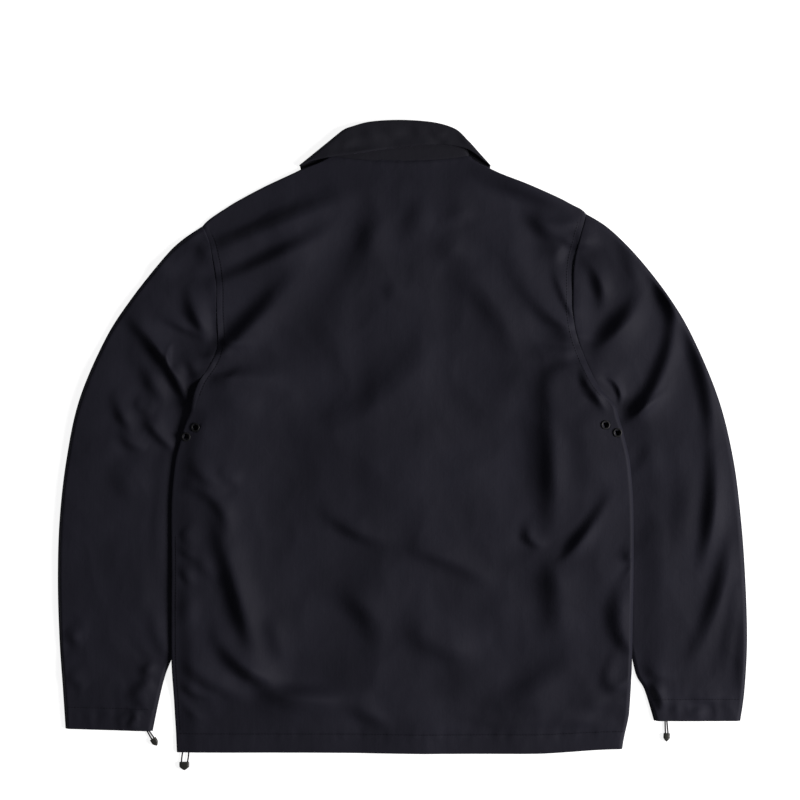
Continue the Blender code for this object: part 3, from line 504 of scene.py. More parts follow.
bodyFolds = [
    Fold(-262, 206, -140, 259, -50, 294, 10.5, 13.0, -0.1),
    Fold(-252, 172, -136, 222, -62, 264, 9, 11.0, -0.2),
    Fold(-240, 80, -165, 154, -108, 226, 10, 10.5, -0.4),
    Fold(-102, 142, -61, 205, -28, 288, 14, 5.2),
    Fold(-19, 153, -17, 170, -19, 187, 8.5, 2.1),
    Fold(-228, 66, -164, 76, -112, 54, 7.8, -4.8, -0.5),
    Fold(-224, 89, -210, 93, -194, 95, 4.3, -3.3, -0.6),
    Fold(-225, 50, -180, 44, -140, 24, 11.4, -2.4, -0.4),
    Fold(-158, 4, -59, 39, 34, 138, 18, 8.4),
    Fold(-170, -2, -130, 2, -90, -10, 17, 3),
    Fold(17, 293, 9, 257, -6, 218, 11.4, 3.9),
    Fold(-30, 262, -44, 236, -52, 206, 11.4, 2.4),
    Fold(42, 244, 65, 253, 92, 260, 7.8, -3),
    Fold(25, 216, 53, 212, 84, 196, 10.6, 3.9),
    Fold(118, 199, 160, 145, 206, 113, 7.8, 6.3, 0.6),
    Fold(84, 236, 120, 206, 150, 160, 12.8, 2.7),
    Fold(44, 194, 98, 148, 126, 86, 12, 6.0, 0.1),
    Fold(119, 98, 161, 91, 213, 96, 7.1, 4.2, 0.5),
    Fold(130, 116, 170, 108, 212, 108, 6.4, -2.4, 0.6),
    Fold(220, 91, 172, 80, 157, 48, 9.2, 6.3, -0.3),
    Fold(158, 74, 166, -26, 168, -124, 10.5, 9.6),
    Fold(138, 48, 148, -20, 152, -90, 9.9, 2.4),
    Fold(190, 30, 204, -30, 212, -70, 14.2, 3.3),
    Fold(70, 306, 137, 285, 206, 262, 10, 12.5),
    Fold(134, 264, 160, 240, 222, 229, 7.2, 8.0, 0.1),
    Fold(146, 252, 178, 244, 214, 248, 5.2, 4.2, 0.2),
    Fold(185, 190, 188, 216, 206, 226, 7.1, -5.7, 0.3),
    Fold(171, 205, 184, 167, 201, 132, 3.4, 3.6, 0.4),
    Fold(244, -54, 212, -106, 176, -150, 5.2, 6.8, 0.3),
    Fold(140, -96, 146, -120, 163, -131, 4.5, 5.1, 0.4),
    Fold(166, -136, 170, -182, 172, -240, 12, 7.6, -0.2),
    Fold(250, -133, 260, -141, 270, -144, 5.7, 4.2, 0.6),
    Fold(256, -160, 244, -211, 264, -257, 9.2, 8.6, 0.5),
    Fold(232, -262, 245, -294, 269, -289, 6.4, 5.4, 0.4),
    Fold(206, -240, 149, -284, 84, -314, 15, 7.4),
    Fold(-88, -174, -59, -197, -26, -253, 12.5, 7.2),
    Fold(-10, -220, 35, -249, 90, -267, 12.5, 7.4),
    Fold(-104, -82, -56, -114, 4, -132, 7.6, 6.2, -0.2),
    Fold(-14, -128, 44, -146, 110, -180, 8.6, 6.4),
    Fold(-230, -222, -190, -270, -138, -298, 8.0, 12.0, 0.1),
    Fold(-176, -288, -100, -296, -30, -294, 9.5, -12.0, -0.3),
    Fold(-272, -58, -228, -70, -204, -122, 6.6, 6.6, 0.1),
    Fold(-230, -74, -202, -170, -172, -278, 9, 11.0),
    Fold(-254, -30, -231, -50, -204, -66, 6.4, 4.8),
    Fold(-219, -42, -205, -50, -188, -57, 6.4, 3.3),
    Fold(-265, -150, -256, -162, -246, -176, 3.7, 4.2, -0.3),
    Fold(-248, -142, -235, -153, -219, -169, 6.4, 3.3),
    Fold(-264, -262, -223, -291, -172, -314, 7.8, 6, -0.3),
    Fold(-78, -317, -47, -325, -12, -344, 7.8, 5.7, 0.2),
    Fold(-162, -202, -153, -237, -142, -268, 8.5, 3.9),
    Fold(136, -334, 184, -335, 250, -340, 7.1, 3.9),
    Fold(194, -317, 226, -316, 258, -309, 7.1, -3.6, 0.3),
    Fold(-10, -338, 40, -330, 100, -338, 8.5, 2.4),
    Fold(-238, -178, -246, -206, -262, -226, 11.4, -3.9),
    Fold(-262, -108, -256, -120, -244, -128, 5.7, 3.3, -0.4),
    Fold(56, 52, 90, 30, 140, 26, 17, 3),
    Fold(30, -30, 70, -24, 120, -34, 17, -2.4),
    Fold(-110, 140, -86, 100, -40, 80, 17, 2.7),
    Fold(-60, -50, -20, -66, 30, -64, 17, 2.1),
    Fold(90, -216, 110, -190, 150, -178, 14.2, 2.4),
    Fold(-30, -316, 10, -300, 60, -304, 14.2, 2.4),
    Fold(-170, -60, -120, -48, -70, -58, 17, 1.8),
    Fold(230, 30, 222, 46, 204, 60, 4.4, 4.2),
    Fold(236, 26, 228, 40, 216, 56, 2.4, 2.8),
    Fold(204, 78, 212, 62, 222, 50, 2.8, 3.4),
    Fold(206, 98, 216, 74, 240, 44, 2.4, -3.2, 0.3),
    Fold(150, 122, 178, 112, 214, 114, 3.2, 2.6, 0.6),
    Fold(160, 138, 184, 124, 212, 122, 3.0, -2.4, 0.6),
    Fold(-214, 118, -190, 112, -168, 116, 2.8, -2.6, -0.6),
    Fold(-222, 76, -204, 72, -188, 78, 2.6, 2.4, -0.6),
    Fold(178, 236, 192, 226, 210, 222, 2.8, 3.2, 0.5),
    Fold(-266, -286, -240, -302, -212, -308, 4.2, 4.4, -0.4),
    Fold(-262, -300, -244, -318, -222, -326, 3.4, -3.0, -0.4),
    Fold(-270, -128, -246, -140, -226, -144, 3.6, 3.4, -0.4),
    Fold(60, -318, 110, -326, 170, -322, 5.4, -3.6),
]

sleeveFolds = [
    Fold(230, 72, 249, 58, 252, 34, 2.6, 9.0),
    Fold(-256, 182, -250, 152, -218, 110, 6.5, 8.1, 0.3),
    Fold(-291, 142, -258, 126, -219, 108, 4.4, 4.9, 0.3),
    Fold(-331, 146, -300, 114, -272, 80, 6, 10, 0.5),
    Fold(-290, 106, -266, 66, -246, 24, 5.4, 12.0, 0.5),
    Fold(-268, 112, -272, 94, -257, 68, 1.8, -4.2, -0.1),
    Fold(-321, 109, -302, 72, -278, 34, 7.8, 5.2, 0.3),
    Fold(-262, 96, -244, 76, -232, 60, 5.2, 4.3, 0.3),
    Fold(-308, 25, -287, 1, -264, -20, 5.2, 7.5, 0.5),
    Fold(-342, 55, -332, 27, -317, 5, 5.9, 4.6, 0.2),
    Fold(-336, 5, -321, -9, -300, -18, 5.9, 4.6, 0.3),
    Fold(-316, 40, -304, 30, -290, 26, 5.2, 2.9),
    Fold(-345, -30, -332, -56, -310, -80, 10.4, 2.6),
    Fold(-296, -186, -290, -228, -275, -262, 7.8, 6.1, 0.6),
    Fold(-264, 40, -285, -60, -285, -190, 8.5, 4.4),
    Fold(-398, -230, -387, -236, -374, -246, 5.9, 3.8, -0.2),
    Fold(-398, -278, -386, -284, -374, -300, 6.5, 2.9),
    Fold(-292, -280, -307, -288, -324, -306, 7.2, 4.6, -0.4),
    Fold(-288, -262, -298, -266, -308, -278, 5.2, 3.5, -0.4),
    Fold(-300, -320, -316, -318, -334, -332, 5.2, 2.6, -0.3),
    Fold(-310, -322, -318, -330, -324, -340, 4.4, 2.2),
    Fold(-306, 206, -286, 190, -262, 184, 10.4, 2.9),
    Fold(-240, 226, -232, 214, -224, 208, 6.5, 2.9),
    Fold(206, 212, 224, 186, 229, 142, 5.5, 6.2),
    Fold(205, 212, 216, 224, 232, 229, 5.2, -4.9, -0.3),
    Fold(250, 240, 262, 200, 272, 166, 7.5, 3.0),
    Fold(280, 186, 254, 140, 206, 96, 8.6, 11.0, 0.2),
    Fold(296, 206, 311, 132, 280, 52, 6.5, 5.5, 0.1),
    Fold(312, 126, 291, 62, 244, 8, 6.4, 9.6, 0.5),
    Fold(286, 194, 304, 164, 316, 130, 6.0, 8.6),
    Fold(322, 140, 345, 77, 356, -14, 7.0, 8.4),
    Fold(352, 20, 357, -73, 338, -172, 7.2, 7.6),
    Fold(379, -100, 357, -202, 322, -276, 8.4, 7.2),
    Fold(390, -150, 378, -220, 366, -290, 7.8, 3.2),
    Fold(318, 65, 290, 44, 259, 22, 3.1, 2.9, 0.4),
    Fold(286, 0, 276, -26, 256, -52, 6.5, 4.3, 0.4),
    Fold(290, -80, 280, -112, 258, -146, 10.4, 3.5, 0.3),
    Fold(322, -10, 322, -80, 308, -150, 11.7, 3.2),
    Fold(262, -180, 264, -220, 270, -250, 6.5, 3.5),
    Fold(398, -190, 392, -250, 390, -310, 6.5, 2.9),
    Fold(276, -264, 292, -280, 320, -284, 6.5, 3.8, -0.3),
    Fold(283, -286, 294, -300, 300, -322, 5.2, 6.4, -0.2),
    Fold(322, -302, 346, -308, 380, -304, 5.2, 2.6),
    Fold(330, -322, 344, -316, 360, -312, 5.2, 2.6),
]


foldLook = {
    "reach": 11.0, "middleFrom": 0.2, "middleTo": 0.8, "widest": 0.28, "ends": 1.4, "waver": 0.14,
    "pinch": 1.1,
    "easeAhead": 2.1, "easeBehind": 3.2, "ridgeRound": 0.5, "troughRound": 0.03,
    "ridge": (0.35, 1.2, 1.5), "swell": (0.15, 2.6), "strength": 0.8,
}
crumpleLook = {"slow": 1.4, "broad": 1.2, "dent": 0.45, "small": 0.12}


def foldHeights(folds, x, y):
    # sum of the folds at many places. Across each the cloth falls in a short slope from a round ridge to
    # a sharper trough, and both ease back into the panel over two or three times that width.
    total = np.zeros_like(x)
    ridgeHigh, ridgeAt, ridgeWide = foldLook["ridge"]
    swellHigh, swellWide = foldLook["swell"]
    for number, fold in enumerate(folds):
        reach = fold.wide * foldLook["reach"]
        xs, ys = (fold.x0, fold.x1, fold.x2), (fold.y0, fold.y1, fold.y2)
        near = (x > min(xs) - reach) & (x < max(xs) + reach) & (y > min(ys) - reach) & (y < max(ys) + reach)
        if not near.any():
            continue
        runX, runY = fold.x2 - fold.x0, fold.y2 - fold.y0
        bendX, bendY = fold.x1 - fold.x0, fold.y1 - fold.y0
        length = math.hypot(runX, runY)
        # place along the fold, and how far aside of its bowed line
        along = ((x[near] - fold.x0) * runX + (y[near] - fold.y0) * runY) / length ** 2
        aside = (runX * (y[near] - fold.y0) - runY * (x[near] - fold.x0)) / length
        middle = (bendX * runX + bendY * runY) / length ** 2
        middle = min(max(middle, foldLook["middleFrom"]), foldLook["middleTo"])
        bow = (runX * bendY - runY * bendX) / length / (middle * (1.0 - middle))
        inside = np.clip(along, 0.0, 1.0)
        steep = bow * (1.0 - 2.0 * inside) / length
        signed = (aside - bow * inside * (1.0 - inside)) / np.sqrt(1.0 + steep ** 2)
        signed *= 1.0 if (fold.y0 > fold.y2) == (fold.drop > 0) else -1.0
        # strong in the middle or towards its pinched end, where it is also narrow
        peak = 0.5 + 0.4 * fold.pinch
        rise = np.where(inside < peak, inside / peak, (1.0 - inside) / (1.0 - peak))
        waver = 1.0 + foldLook["waver"] * np.sin(inside * 9.0 + number * 2.3)
        strength = np.sin(rise * math.pi / 2) ** foldLook["ends"] * waver
        away = np.abs(inside - (0.5 + 0.5 * np.sign(fold.pinch))) if fold.pinch else 0.5
        width = min(fold.wide, foldLook["widest"] * length)
        width = width * (1.0 + abs(fold.pinch) * (away - 0.5) * foldLook["pinch"])
        ease = np.where(signed > 0, foldLook["easeAhead"], foldLook["easeBehind"]) * width
        part = signed / width
        slope = (np.sqrt((part + 1.0) ** 2 + foldLook["ridgeRound"])
                 - np.sqrt((part - 1.0) ** 2 + foldLook["troughRound"])) / 2
        slope *= np.exp(-np.abs(signed) / ease)
        ridge = (ridgeHigh * np.exp(-((part - ridgeAt) / ridgeWide) ** 2)
                 + swellHigh * np.exp(-(part / swellWide) ** 2))
        total[near] += foldLook["strength"] * abs(fold.drop) * strength * (slope + ridge)
    return total


def crumple(x, y, seed):
    # slow waves and small dents of cloth that has been worn and put down, 13 to 120 mm across
    out = np.zeros_like(x)
    for index, (px, py) in enumerate(zip(x, y)):
        slow = noise.noise(Vector((px / 95.0 + seed, py / 120.0, 0.3)))
        dent = 1.0 - abs(noise.noise(Vector((px / 34.0, py / 46.0 + seed, 1.7)))) * 2.4
        small = noise.noise(Vector((px / 13.0 - seed, py / 17.0, 4.1)))
        broad = noise.noise(Vector((px / 52.0 + 2.0 * seed, py / 60.0, 7.7)))
        out[index] = (crumpleLook["slow"] * slow + crumpleLook["broad"] * broad
                      + crumpleLook["dent"] * dent + crumpleLook["small"] * small)
    return out


def tuckShare(y):
    return ramp(y, *overlaps["tuckIn"]) * (1.0 - ramp(y, *overlaps["tuckOut"]))


def underHeight(x, y, run=sizes["tuckRamp"]):
    # underside of the fronts: on the floor, over the sleeves' inner edges, or over the collar's points
    side = np.minimum(x - bodyLeft(y), bodyRight(y) - x)
    bump = sizes["armpitLift"] * ramp(y, *overlaps["armpitIn"])
    bump = bump * (1.0 - ramp(y, *overlaps["armpitOut"]))
    reach = 1.0 - ramp(side, sizes["tuckReach"], sizes["tuckReach"] + run)
    tuck = (sizes["tuckLift"] * tuckShare(y) + bump) * reach
    aside = ramp(np.abs(x - sizes["neckX"]), *overlaps["leafAside"])
    leaf = sizes["leafLift"] * ramp(y, *overlaps["leafIn"]) * (1.0 - aside)
    return np.maximum(tuck, leaf)


def lapHeight(x):
    return sizes["lapLift"] * ramp(x, *overlaps["lapIn"]) * (1.0 - ramp(x, *overlaps["lapOut"]))


# How the top layer lies: softLeast is the least loft that its folds leave, and eases in over softRun.
# neckThin, hemThin and foldThin are shares of the loft or of the folds that are lost or kept there.
topLook = {
    "armholeRun": 36.0, "shoulderPace": 3.0, "fadeFrom": 8.0, "fadeTo": 30.0, "shoulderFade": 4.0,
    "easeFrom": 10.0, "easeTo": 48.0, "leftEase": (-6.0, 26.0), "neckThin": 0.55, "neckRun": (286.0, 326.0),
    "hemThin": 0.55, "hemRun": 60.0, "foldThin": 0.35, "softLeast": 0.6, "softRun": 1.2, "seamReach": 9.0,
}


def shoulderY(x):
    return np.where(x < 0, sizes["leftShoulderY"], sizes["rightShoulderY"])


def armholeLevel(x, y):
    # 0 along side and shoulder edges, rising along the armhole between its two ends
    inside = np.minimum(y - sizes["armpitY"], (shoulderY(x) - y) * topLook["shoulderPace"])
    return np.where(inside > 0, rollShare(inside, topLook["armholeRun"]), 0.0)


def nearArmhole(x, y, spread):
    # 1 on the armhole seam, fading to 0 on both sides of it
    edge = np.where(x < 0, bodyLeft(y), bodyRight(y))
    between = ramp(y, sizes["armpitY"] + topLook["fadeFrom"], sizes["armpitY"] + topLook["fadeTo"])
    between = between * (1.0 - ramp(y, shoulderY(x) - topLook["shoulderFade"], shoulderY(x)))
    return np.exp(-((x - edge) / spread) ** 2) * between


def softFloor(height):
    # a fold's trough flattens out before it meets the layer below
    least = topLook["softLeast"]
    eased = least * np.exp(np.minimum(height - least, 0.0) / topLook["softRun"])
    return np.where(height > least, height, eased)


def bodyTop(x, y, rough):
    left, right = x - bodyLeft(y), bodyRight(y) - x
    level = armholeLevel(x, y)
    low = 1.0 - ramp(y, topLook["easeFrom"], topLook["easeTo"])
    leftRoll = (1.0 - low) * rollShare(left) + low * ramp(left, *topLook["leftEase"])
    loft = level + (1.0 - level) * np.minimum(leftRoll, rollShare(right))
    neck = 1.0 - topLook["neckThin"] * ramp(y, *topLook["neckRun"])
    hemRise = ramp(y, sizes["hem"], sizes["hem"] + topLook["hemRun"])
    hem = topLook["hemThin"] + (1.0 - topLook["hemThin"]) * hemRise
    reach = nearArmhole(x, y, topLook["seamReach"])
    folds = foldHeights(bodyFolds, x, y) + foldHeights(sleeveFolds, x, y) * reach
    foldShare = topLook["foldThin"] + (1.0 - topLook["foldThin"]) * hem
    height = sizes["bodyLoft"] * loft * neck * hem + (folds + rough) * loft * neck * foldShare
    base = underHeight(x, y, sizes["bridge"]) + lapHeight(x) + sizes["layered"]
    return base + softFloor(height) * np.maximum(loft, 0.0)


def hemShift(x, y):
    # the hem rises towards its right end and sags a little left of the middle
    near = 1.0 - ramp(y, sizes["hem"], sizes["hem"] + topLook["hemRun"])
    return near * (sizes["hemRise"] * ramp(x, 150.0, 255.0) - sizes["hemSag"] * ramp(x, -120.0, 60.0))


def neckShift(x, y):
    # the neck seam dips between the shoulders
    across = np.clip((x - leftEdge[-1].x) / (rightEdge[-1].x - leftEdge[-1].x), 0.0, 1.0)
    return -sizes["neckDip"] * np.sin(np.pi * across) * ramp(y, sizes["neckDipFrom"], sizes["neckY"])


def gridObject(name, points, material, closed=False, flip=False):
    # mesh of quads from an array of rows of points, in millimetres
    rows, columns = points.shape[:2]
    index = np.arange(rows * columns).reshape(rows, columns)
    a, d = index[:-1], index[1:]
    if closed:
        b, c = np.roll(a, -1, 1), np.roll(d, -1, 1)
    else:
        a, b, d, c = a[:, :-1], index[:-1, 1:], d[:, :-1], index[1:, 1:]
    faces = np.stack([a.ravel(), b.ravel(), c.ravel(), d.ravel()], 1)
    if flip:
        faces = faces[:, ::-1]
    mesh = bpy.data.meshes.new(name)
    mesh.from_pydata((points.reshape(-1, 3) * mm).tolist(), [], faces.tolist())
    mesh.shade_smooth()
    mesh.materials.append(material)
    made = bpy.data.objects.new(name, mesh)
    stage.collection.objects.link(made)
    return made


def thicken(piece, wall, offset=-1.0):
    solid = piece.modifiers.new("wall", "SOLIDIFY")
    solid.thickness = wall * mm
    solid.offset = offset
    bpy.context.view_layer.objects.active = piece
    bpy.ops.object.modifier_apply(modifier="wall")


def settle(piece, node):
    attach(piece, "root")
    if node:
        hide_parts(node)


# Stitches: short rounded threads laid along a line of points on the cloth. The profile gives the
# thread's fatness along each stitch, which dips into the cloth at both ends.
stitchLook = {
    "length": 2.5, "gap": 0.9, "radius": 0.24, "sides": 6, "start": 0.3, "uneven": 0.1,
    "lift": 0.05, "arch": 0.12,
    "profile": ((0.0, 0.35), (0.16, 0.95), (0.5, 1.1), (0.84, 0.95), (1.0, 0.35)),
}


def pointAlong(points, lengths, distance):
    return Vector([float(np.interp(distance, lengths, points[:, axis])) for axis in range(3)])


def addStitch(shape, start, end):
    way = (end - start).normalized()
    side = way.cross(Vector((0.0, 0.0, 1.0))).normalized()
    up = side.cross(way)
    sides = stitchLook["sides"]
    rings = []
    for share, fat in stitchLook["profile"]:
        middle = start.lerp(end, share)
        middle = middle + up * (stitchLook["lift"] + stitchLook["arch"] * math.sin(math.pi * share))
        ring = []
        for turnStep in range(sides):
            angle = math.tau * turnStep / sides
            spot = middle + (side * math.cos(angle) + up * math.sin(angle)) * stitchLook["radius"] * fat
            ring.append(shape.verts.new(spot * mm))
        rings.append(ring)
    for lower, upper in zip(rings, rings[1:]):
        for turnStep in range(sides):
            after = (turnStep + 1) % sides
            shape.faces.new((lower[turnStep], lower[after], upper[after], upper[turnStep]))
    shape.faces.new(reversed(rings[0]))
    shape.faces.new(rings[-1])


def makeStitches(name, lines):
    shape = bmesh.new()
    pitch = stitchLook["length"] + stitchLook["gap"]
    for line in lines:
        spots = [Vector(spot) for spot in line]
        lengths = np.concatenate([[0.0], np.cumsum([(b - a).length for a, b in zip(spots, spots[1:])])])
        points = np.array([tuple(spot) for spot in spots])
        for number in range(int(lengths[-1] / pitch)):
            uneven = random.uniform(-stitchLook["uneven"], stitchLook["uneven"])
            start = pointAlong(points, lengths, number * pitch + uneven + stitchLook["start"])
            end = pointAlong(points, lengths, number * pitch + stitchLook["length"] + stitchLook["start"])
            addStitch(shape, start, end)
    settle(makePiece(name, shape, finish["thread"]), None)


# Back panel
backGrid = {
    "rowStep": 3.1, "columns": 168,
    "edge": (0.0, 0.5, 1.2, 2.1, 3.3, 4.6, 5.6, 6.2, 6.8, 7.4, 8.2, 9.6, 11.6, 14.0),
    "hem": (0.0, 0.6, 1.5, 3.0, 6.0, 9.0, 12.0, 15.0, 18.0, 20.0, 21.0, 21.6, 22.0, 22.4, 23.0, 24.2),
}
seamLook = {
    "hemStitch": 22.0, "topstitch": 6.5, "sideStitch": 4.0, "grooveWide": 0.9, "narrow": 0.7,
    "hemGroove": 0.44, "armholeGroove": 0.2, "needleGroove": 0.14, "sideGroove": 0.22, "sideWide": 0.8,
    "hemPucker": 1.1, "armholePucker": 0.9, "sidePucker": 0.7, "neckPucker": 0.5, "puckerLine": 3.0,
    "casingLift": 0.3, "casingEase": 3.0, "casingSide": 3.5, "hemTurn": 1.0, "hemTurnRun": 2.4,
}
# The back's edges turn down and in, further at the armholes and furthest under the arms, where one looks
# in between the body and the sleeve; the neck seam's allowance goes down inside the collar
turnLook = {
    "roll": 3.4, "clear": 0.9, "in": 1.4, "least": 0.9, "down": 0.7, "armhole": 2.6, "besideSleeve": 3.6,
    "underArm": 3.9, "besideFrom": (-40.0, 0.0), "underArmFrom": (38.0, 50.0), "underArmTo": (96.0, 116.0),
    "neck": ((0.9, 0.7), (2.4, 1.6), (4.0, 2.0)), "neckShrink": 0.97,
}


def rowHeights():
    corners = [sizes["hem"] + sizes["casing"] + 4.0, sizes["armpitY"], sizes["seamEndY"],
               sizes["leftShoulderY"], sizes["rightShoulderY"], sizes["neckY"]]
    heights = [sizes["hem"] + up for up in backGrid["hem"]]
    for low, high in zip(corners, corners[1:]):
        count = max(2, round((high - low) / backGrid["rowStep"]))
        heights += [low + (high - low) * index / count for index in range(count)]
    return np.array(heights + [sizes["neckY"]])


def groove(distance, wide=seamLook["grooveWide"]):
    return np.exp(-(distance / wide) ** 2)


def pucker(place, distance, seed, pitch=9.0, reach=8.0):
    # cloth gathered a little by a line of stitches: uneven short ripples that fade away from it
    pairs = zip(place.ravel(), distance.ravel())
    ripple = np.array([noise.noise(Vector((along / pitch, seed, aside / 30.0))) for along, aside in pairs])
    return ripple.reshape(place.shape) * np.exp(-np.abs(distance) / reach)


def armholePucker(y, inside):
    # the same ripples on both sides of the armhole seam, so that its two edges meet
    return seamLook["armholePucker"] * pucker(y, inside - seamLook["puckerLine"], 5.0, 8.0, 7.0)


def makeBack():
    ys = rowHeights()
    left, right = bodyLeft(ys), bodyRight(ys)
    near = np.array(backGrid["edge"])
    middle = np.linspace(0.0, 1.0, backGrid["columns"] - 2 * len(near) + 2)[1:-1]
    rows = []
    for y, lo, hi in zip(ys, left, right):
        span = (hi - near[-1]) - (lo + near[-1])
        rows.append(np.concatenate([lo + near, lo + near[-1] + span * middle, (hi - near)[::-1]]))
    x = np.array(rows)
    y = np.repeat(ys[:, None], x.shape[1], 1)
    flatX, flatY = x.ravel(), y.ravel()
    rough = crumple(flatX, flatY, 3.0)
    z = bodyTop(flatX, flatY, rough).reshape(x.shape)
    # side and shoulder edges turn down to the fronts
    lean = np.minimum(x - left[:, None], right[:, None] - x)
    level = armholeLevel(flatX, flatY).reshape(x.shape)
    deep = sizes["layered"] - sizes["wall"] - turnLook["clear"]
    z -= (1.0 - level) * (1.0 - rollShare(lean, turnLook["roll"])) * deep
    # hem casing: a shallow tube under its line of stitches, puckered
    up = y - sizes["hem"]
    fromLine = up - seamLook["hemStitch"]
    casingEnd = 1.0 - ramp(up, sizes["casing"] - seamLook["casingSide"], sizes["casing"])
    z += seamLook["casingLift"] * (ramp(up, 0.0, seamLook["casingEase"]) * casingEnd)
    z -= seamLook["hemGroove"] * groove(fromLine)
    z += seamLook["hemPucker"] * pucker(x, fromLine, 2.0)
    z -= seamLook["hemTurn"] * (1.0 - ramp(up, 0.0, seamLook["hemTurnRun"]))
    # armhole: the seam's own ditch, and the line of stitches beside it
    fromEdge = np.where(x < 0, x - left[:, None], right[:, None] - x)
    along = level > 0.02
    ditch = (seamLook["armholeGroove"] * groove(fromEdge, seamLook["narrow"])
             + seamLook["needleGroove"] * groove(fromEdge - seamLook["topstitch"], seamLook["narrow"]))
    z -= np.where(along, ditch, 0.0)
    z += np.where(along, armholePucker(y, fromEdge), 0.0)
    # side seam, which shows at the left: stitched just inside the edge, from under the arm to the hem
    sideSeam = (1.0 - ramp(y, -150.0, -60.0)) * (x < 0)
    z -= seamLook["sideGroove"] * sideSeam * groove(fromEdge - seamLook["sideStitch"], seamLook["sideWide"])
    z += seamLook["sidePucker"] * sideSeam * pucker(y, fromEdge - seamLook["puckerLine"], 8.0, 10.0, 6.0)
    # back neck seam
    z += seamLook["neckPucker"] * pucker(x, y - sizes["neckY"], 11.0, 10.0, 6.0)
    placeY = y + hemShift(x, y) + neckShift(x, y)
    points = np.stack([x, placeY, z], 2)
    deeper = (turnLook["besideSleeve"] * ramp(ys, *turnLook["besideFrom"])
              + turnLook["underArm"] * ramp(ys, *turnLook["underArmFrom"]))
    deeper = (deeper * (1.0 - ramp(ys, *turnLook["underArmTo"])))[:, None]
    turn = turnLook["down"] + turnLook["armhole"] * level[:, :1] + deeper
    first, last = points[:, :1].copy(), points[:, -1:].copy()
    for strip, inward in ((first, turnLook["in"]), (last, -turnLook["in"])):
        strip[..., 0] += inward
        strip[..., 2] = np.maximum(strip[..., 2] - turn, turnLook["least"])
    points = np.concatenate([first, points, last], 1)
    allowance = []
    for out, down in turnLook["neck"]:
        strip = points[-1:].copy()
        strip[..., 0] = sizes["neckX"] + (strip[..., 0] - sizes["neckX"]) * turnLook["neckShrink"]
        strip[..., 1] += out
        strip[..., 2] -= down
        allowance.append(strip)
    points = np.concatenate([points, *allowance])
    ys = np.concatenate([ys, ys[-1] + np.array([out for out, down in turnLook["neck"]])])
    return gridObject("back_panel", points, finish["shell"]), points, ys


back, backPoints, backRows = makeBack()
print("back ready")


def rowLine(points, rows, wanted, skip):
    # line of points across the panel at a height between its rows, short of both edges
    index = int(np.clip(np.searchsorted(rows, wanted) - 1, 0, len(rows) - 2))
    part = (wanted - rows[index]) / (rows[index + 1] - rows[index])
    line = points[index] * (1 - part) + points[index + 1] * part
    return line[skip:-skip]


def columnLine(points, rows, inset, side, low, high):
    # line of points up the panel at a distance inside its left (-1) or right (1) edge
    line = []
    for row, y in zip(points, rows):
        if low <= y <= high:
            order = row if side < 0 else row[::-1]
            distance = np.abs(order[:, 0] - order[0, 0])
            line.append([np.interp(inset, distance, order[:, axis]) for axis in range(3)])
    return line


makeStitches("back_stitches", [
    rowLine(backPoints, backRows, sizes["hem"] + seamLook["hemStitch"], 3),
    columnLine(backPoints, backRows, seamLook["topstitch"], -1, 48.0, 240.0),
    columnLine(backPoints, backRows, seamLook["topstitch"], 1, 48.0, 254.0),
    columnLine(backPoints, backRows, seamLook["sideStitch"], -1, -342.0, -110.0),
])


# Eyelets: rolled flange, barrel and a dark hole, set into the back panel
eyeletPlaces = [Place(-241, 12), Place(-252, 1), Place(236, 15), Place(250, 6)]
eyeletLook = {
    "outer": 5.3, "hole": 3.4, "roll": 0.75, "depth": 4.0, "punch": 3.0, "above": 0.55, "steps": 48,
    "skirt": ((0.1, -0.5), (0.7, -0.9)),
}


def surfaceAt(points, x, y):
    # place and normal of a panel's surface at a spot, from its grid
    flat = points.reshape(-1, 3)
    nearest = 14
    rows = flat[np.argsort(np.hypot(flat[:, 0] - x, flat[:, 1] - y))[:nearest]]
    fit = np.c_[rows[:, 0] - x, rows[:, 1] - y, np.ones(len(rows))]
    slopeX, slopeY, height = np.linalg.lstsq(fit, rows[:, 2], rcond=None)[0]
    return Vector((x, y, height)), Vector((-slopeX, -slopeY, 1.0)).normalized()


def turned(name, profile, steps, material):
    # a profile of (radius, height) turned round the upright axis
    shape = bmesh.new()
    rings = []
    for step in range(steps):
        angle = math.tau * step / steps
        x, y = math.cos(angle), math.sin(angle)
        rings.append([shape.verts.new((r * x * mm, r * y * mm, h * mm)) for r, h in profile])
    for step in range(steps):
        here, after = rings[step], rings[(step + 1) % steps]
        for index in range(len(profile) - 1):
            shape.faces.new((here[index], after[index], after[index + 1], here[index + 1]))
    return makePiece(name, shape, material)


def eyeletProfile():
    # up the barrel, over the rolled flange and down its skirt
    outer, hole = eyeletLook["outer"], eyeletLook["hole"]
    profile = [(hole, -eyeletLook["depth"])]
    middle, reach = (outer + hole) / 2, (outer - hole) / 2
    for step in range(13):
        angle = math.pi * (1 - step / 12)
        height = 0.15 + eyeletLook["roll"] * math.sin(angle) ** 0.8
        profile.append((middle + reach * math.cos(angle), height))
    return profile + [(outer - inward, height) for inward, height in eyeletLook["skirt"]]


def punch(panel, spot):
    # the cloth's hole under an eyelet
    shape = bmesh.new()
    shape.from_mesh(panel.data)
    centre, radius = spot * mm, eyeletLook["punch"] * mm
    gone = [face for face in shape.faces if (face.calc_center_median() - centre).length < radius]
    bmesh.ops.delete(shape, geom=gone, context="FACES")
    shape.to_mesh(panel.data)
    shape.free()


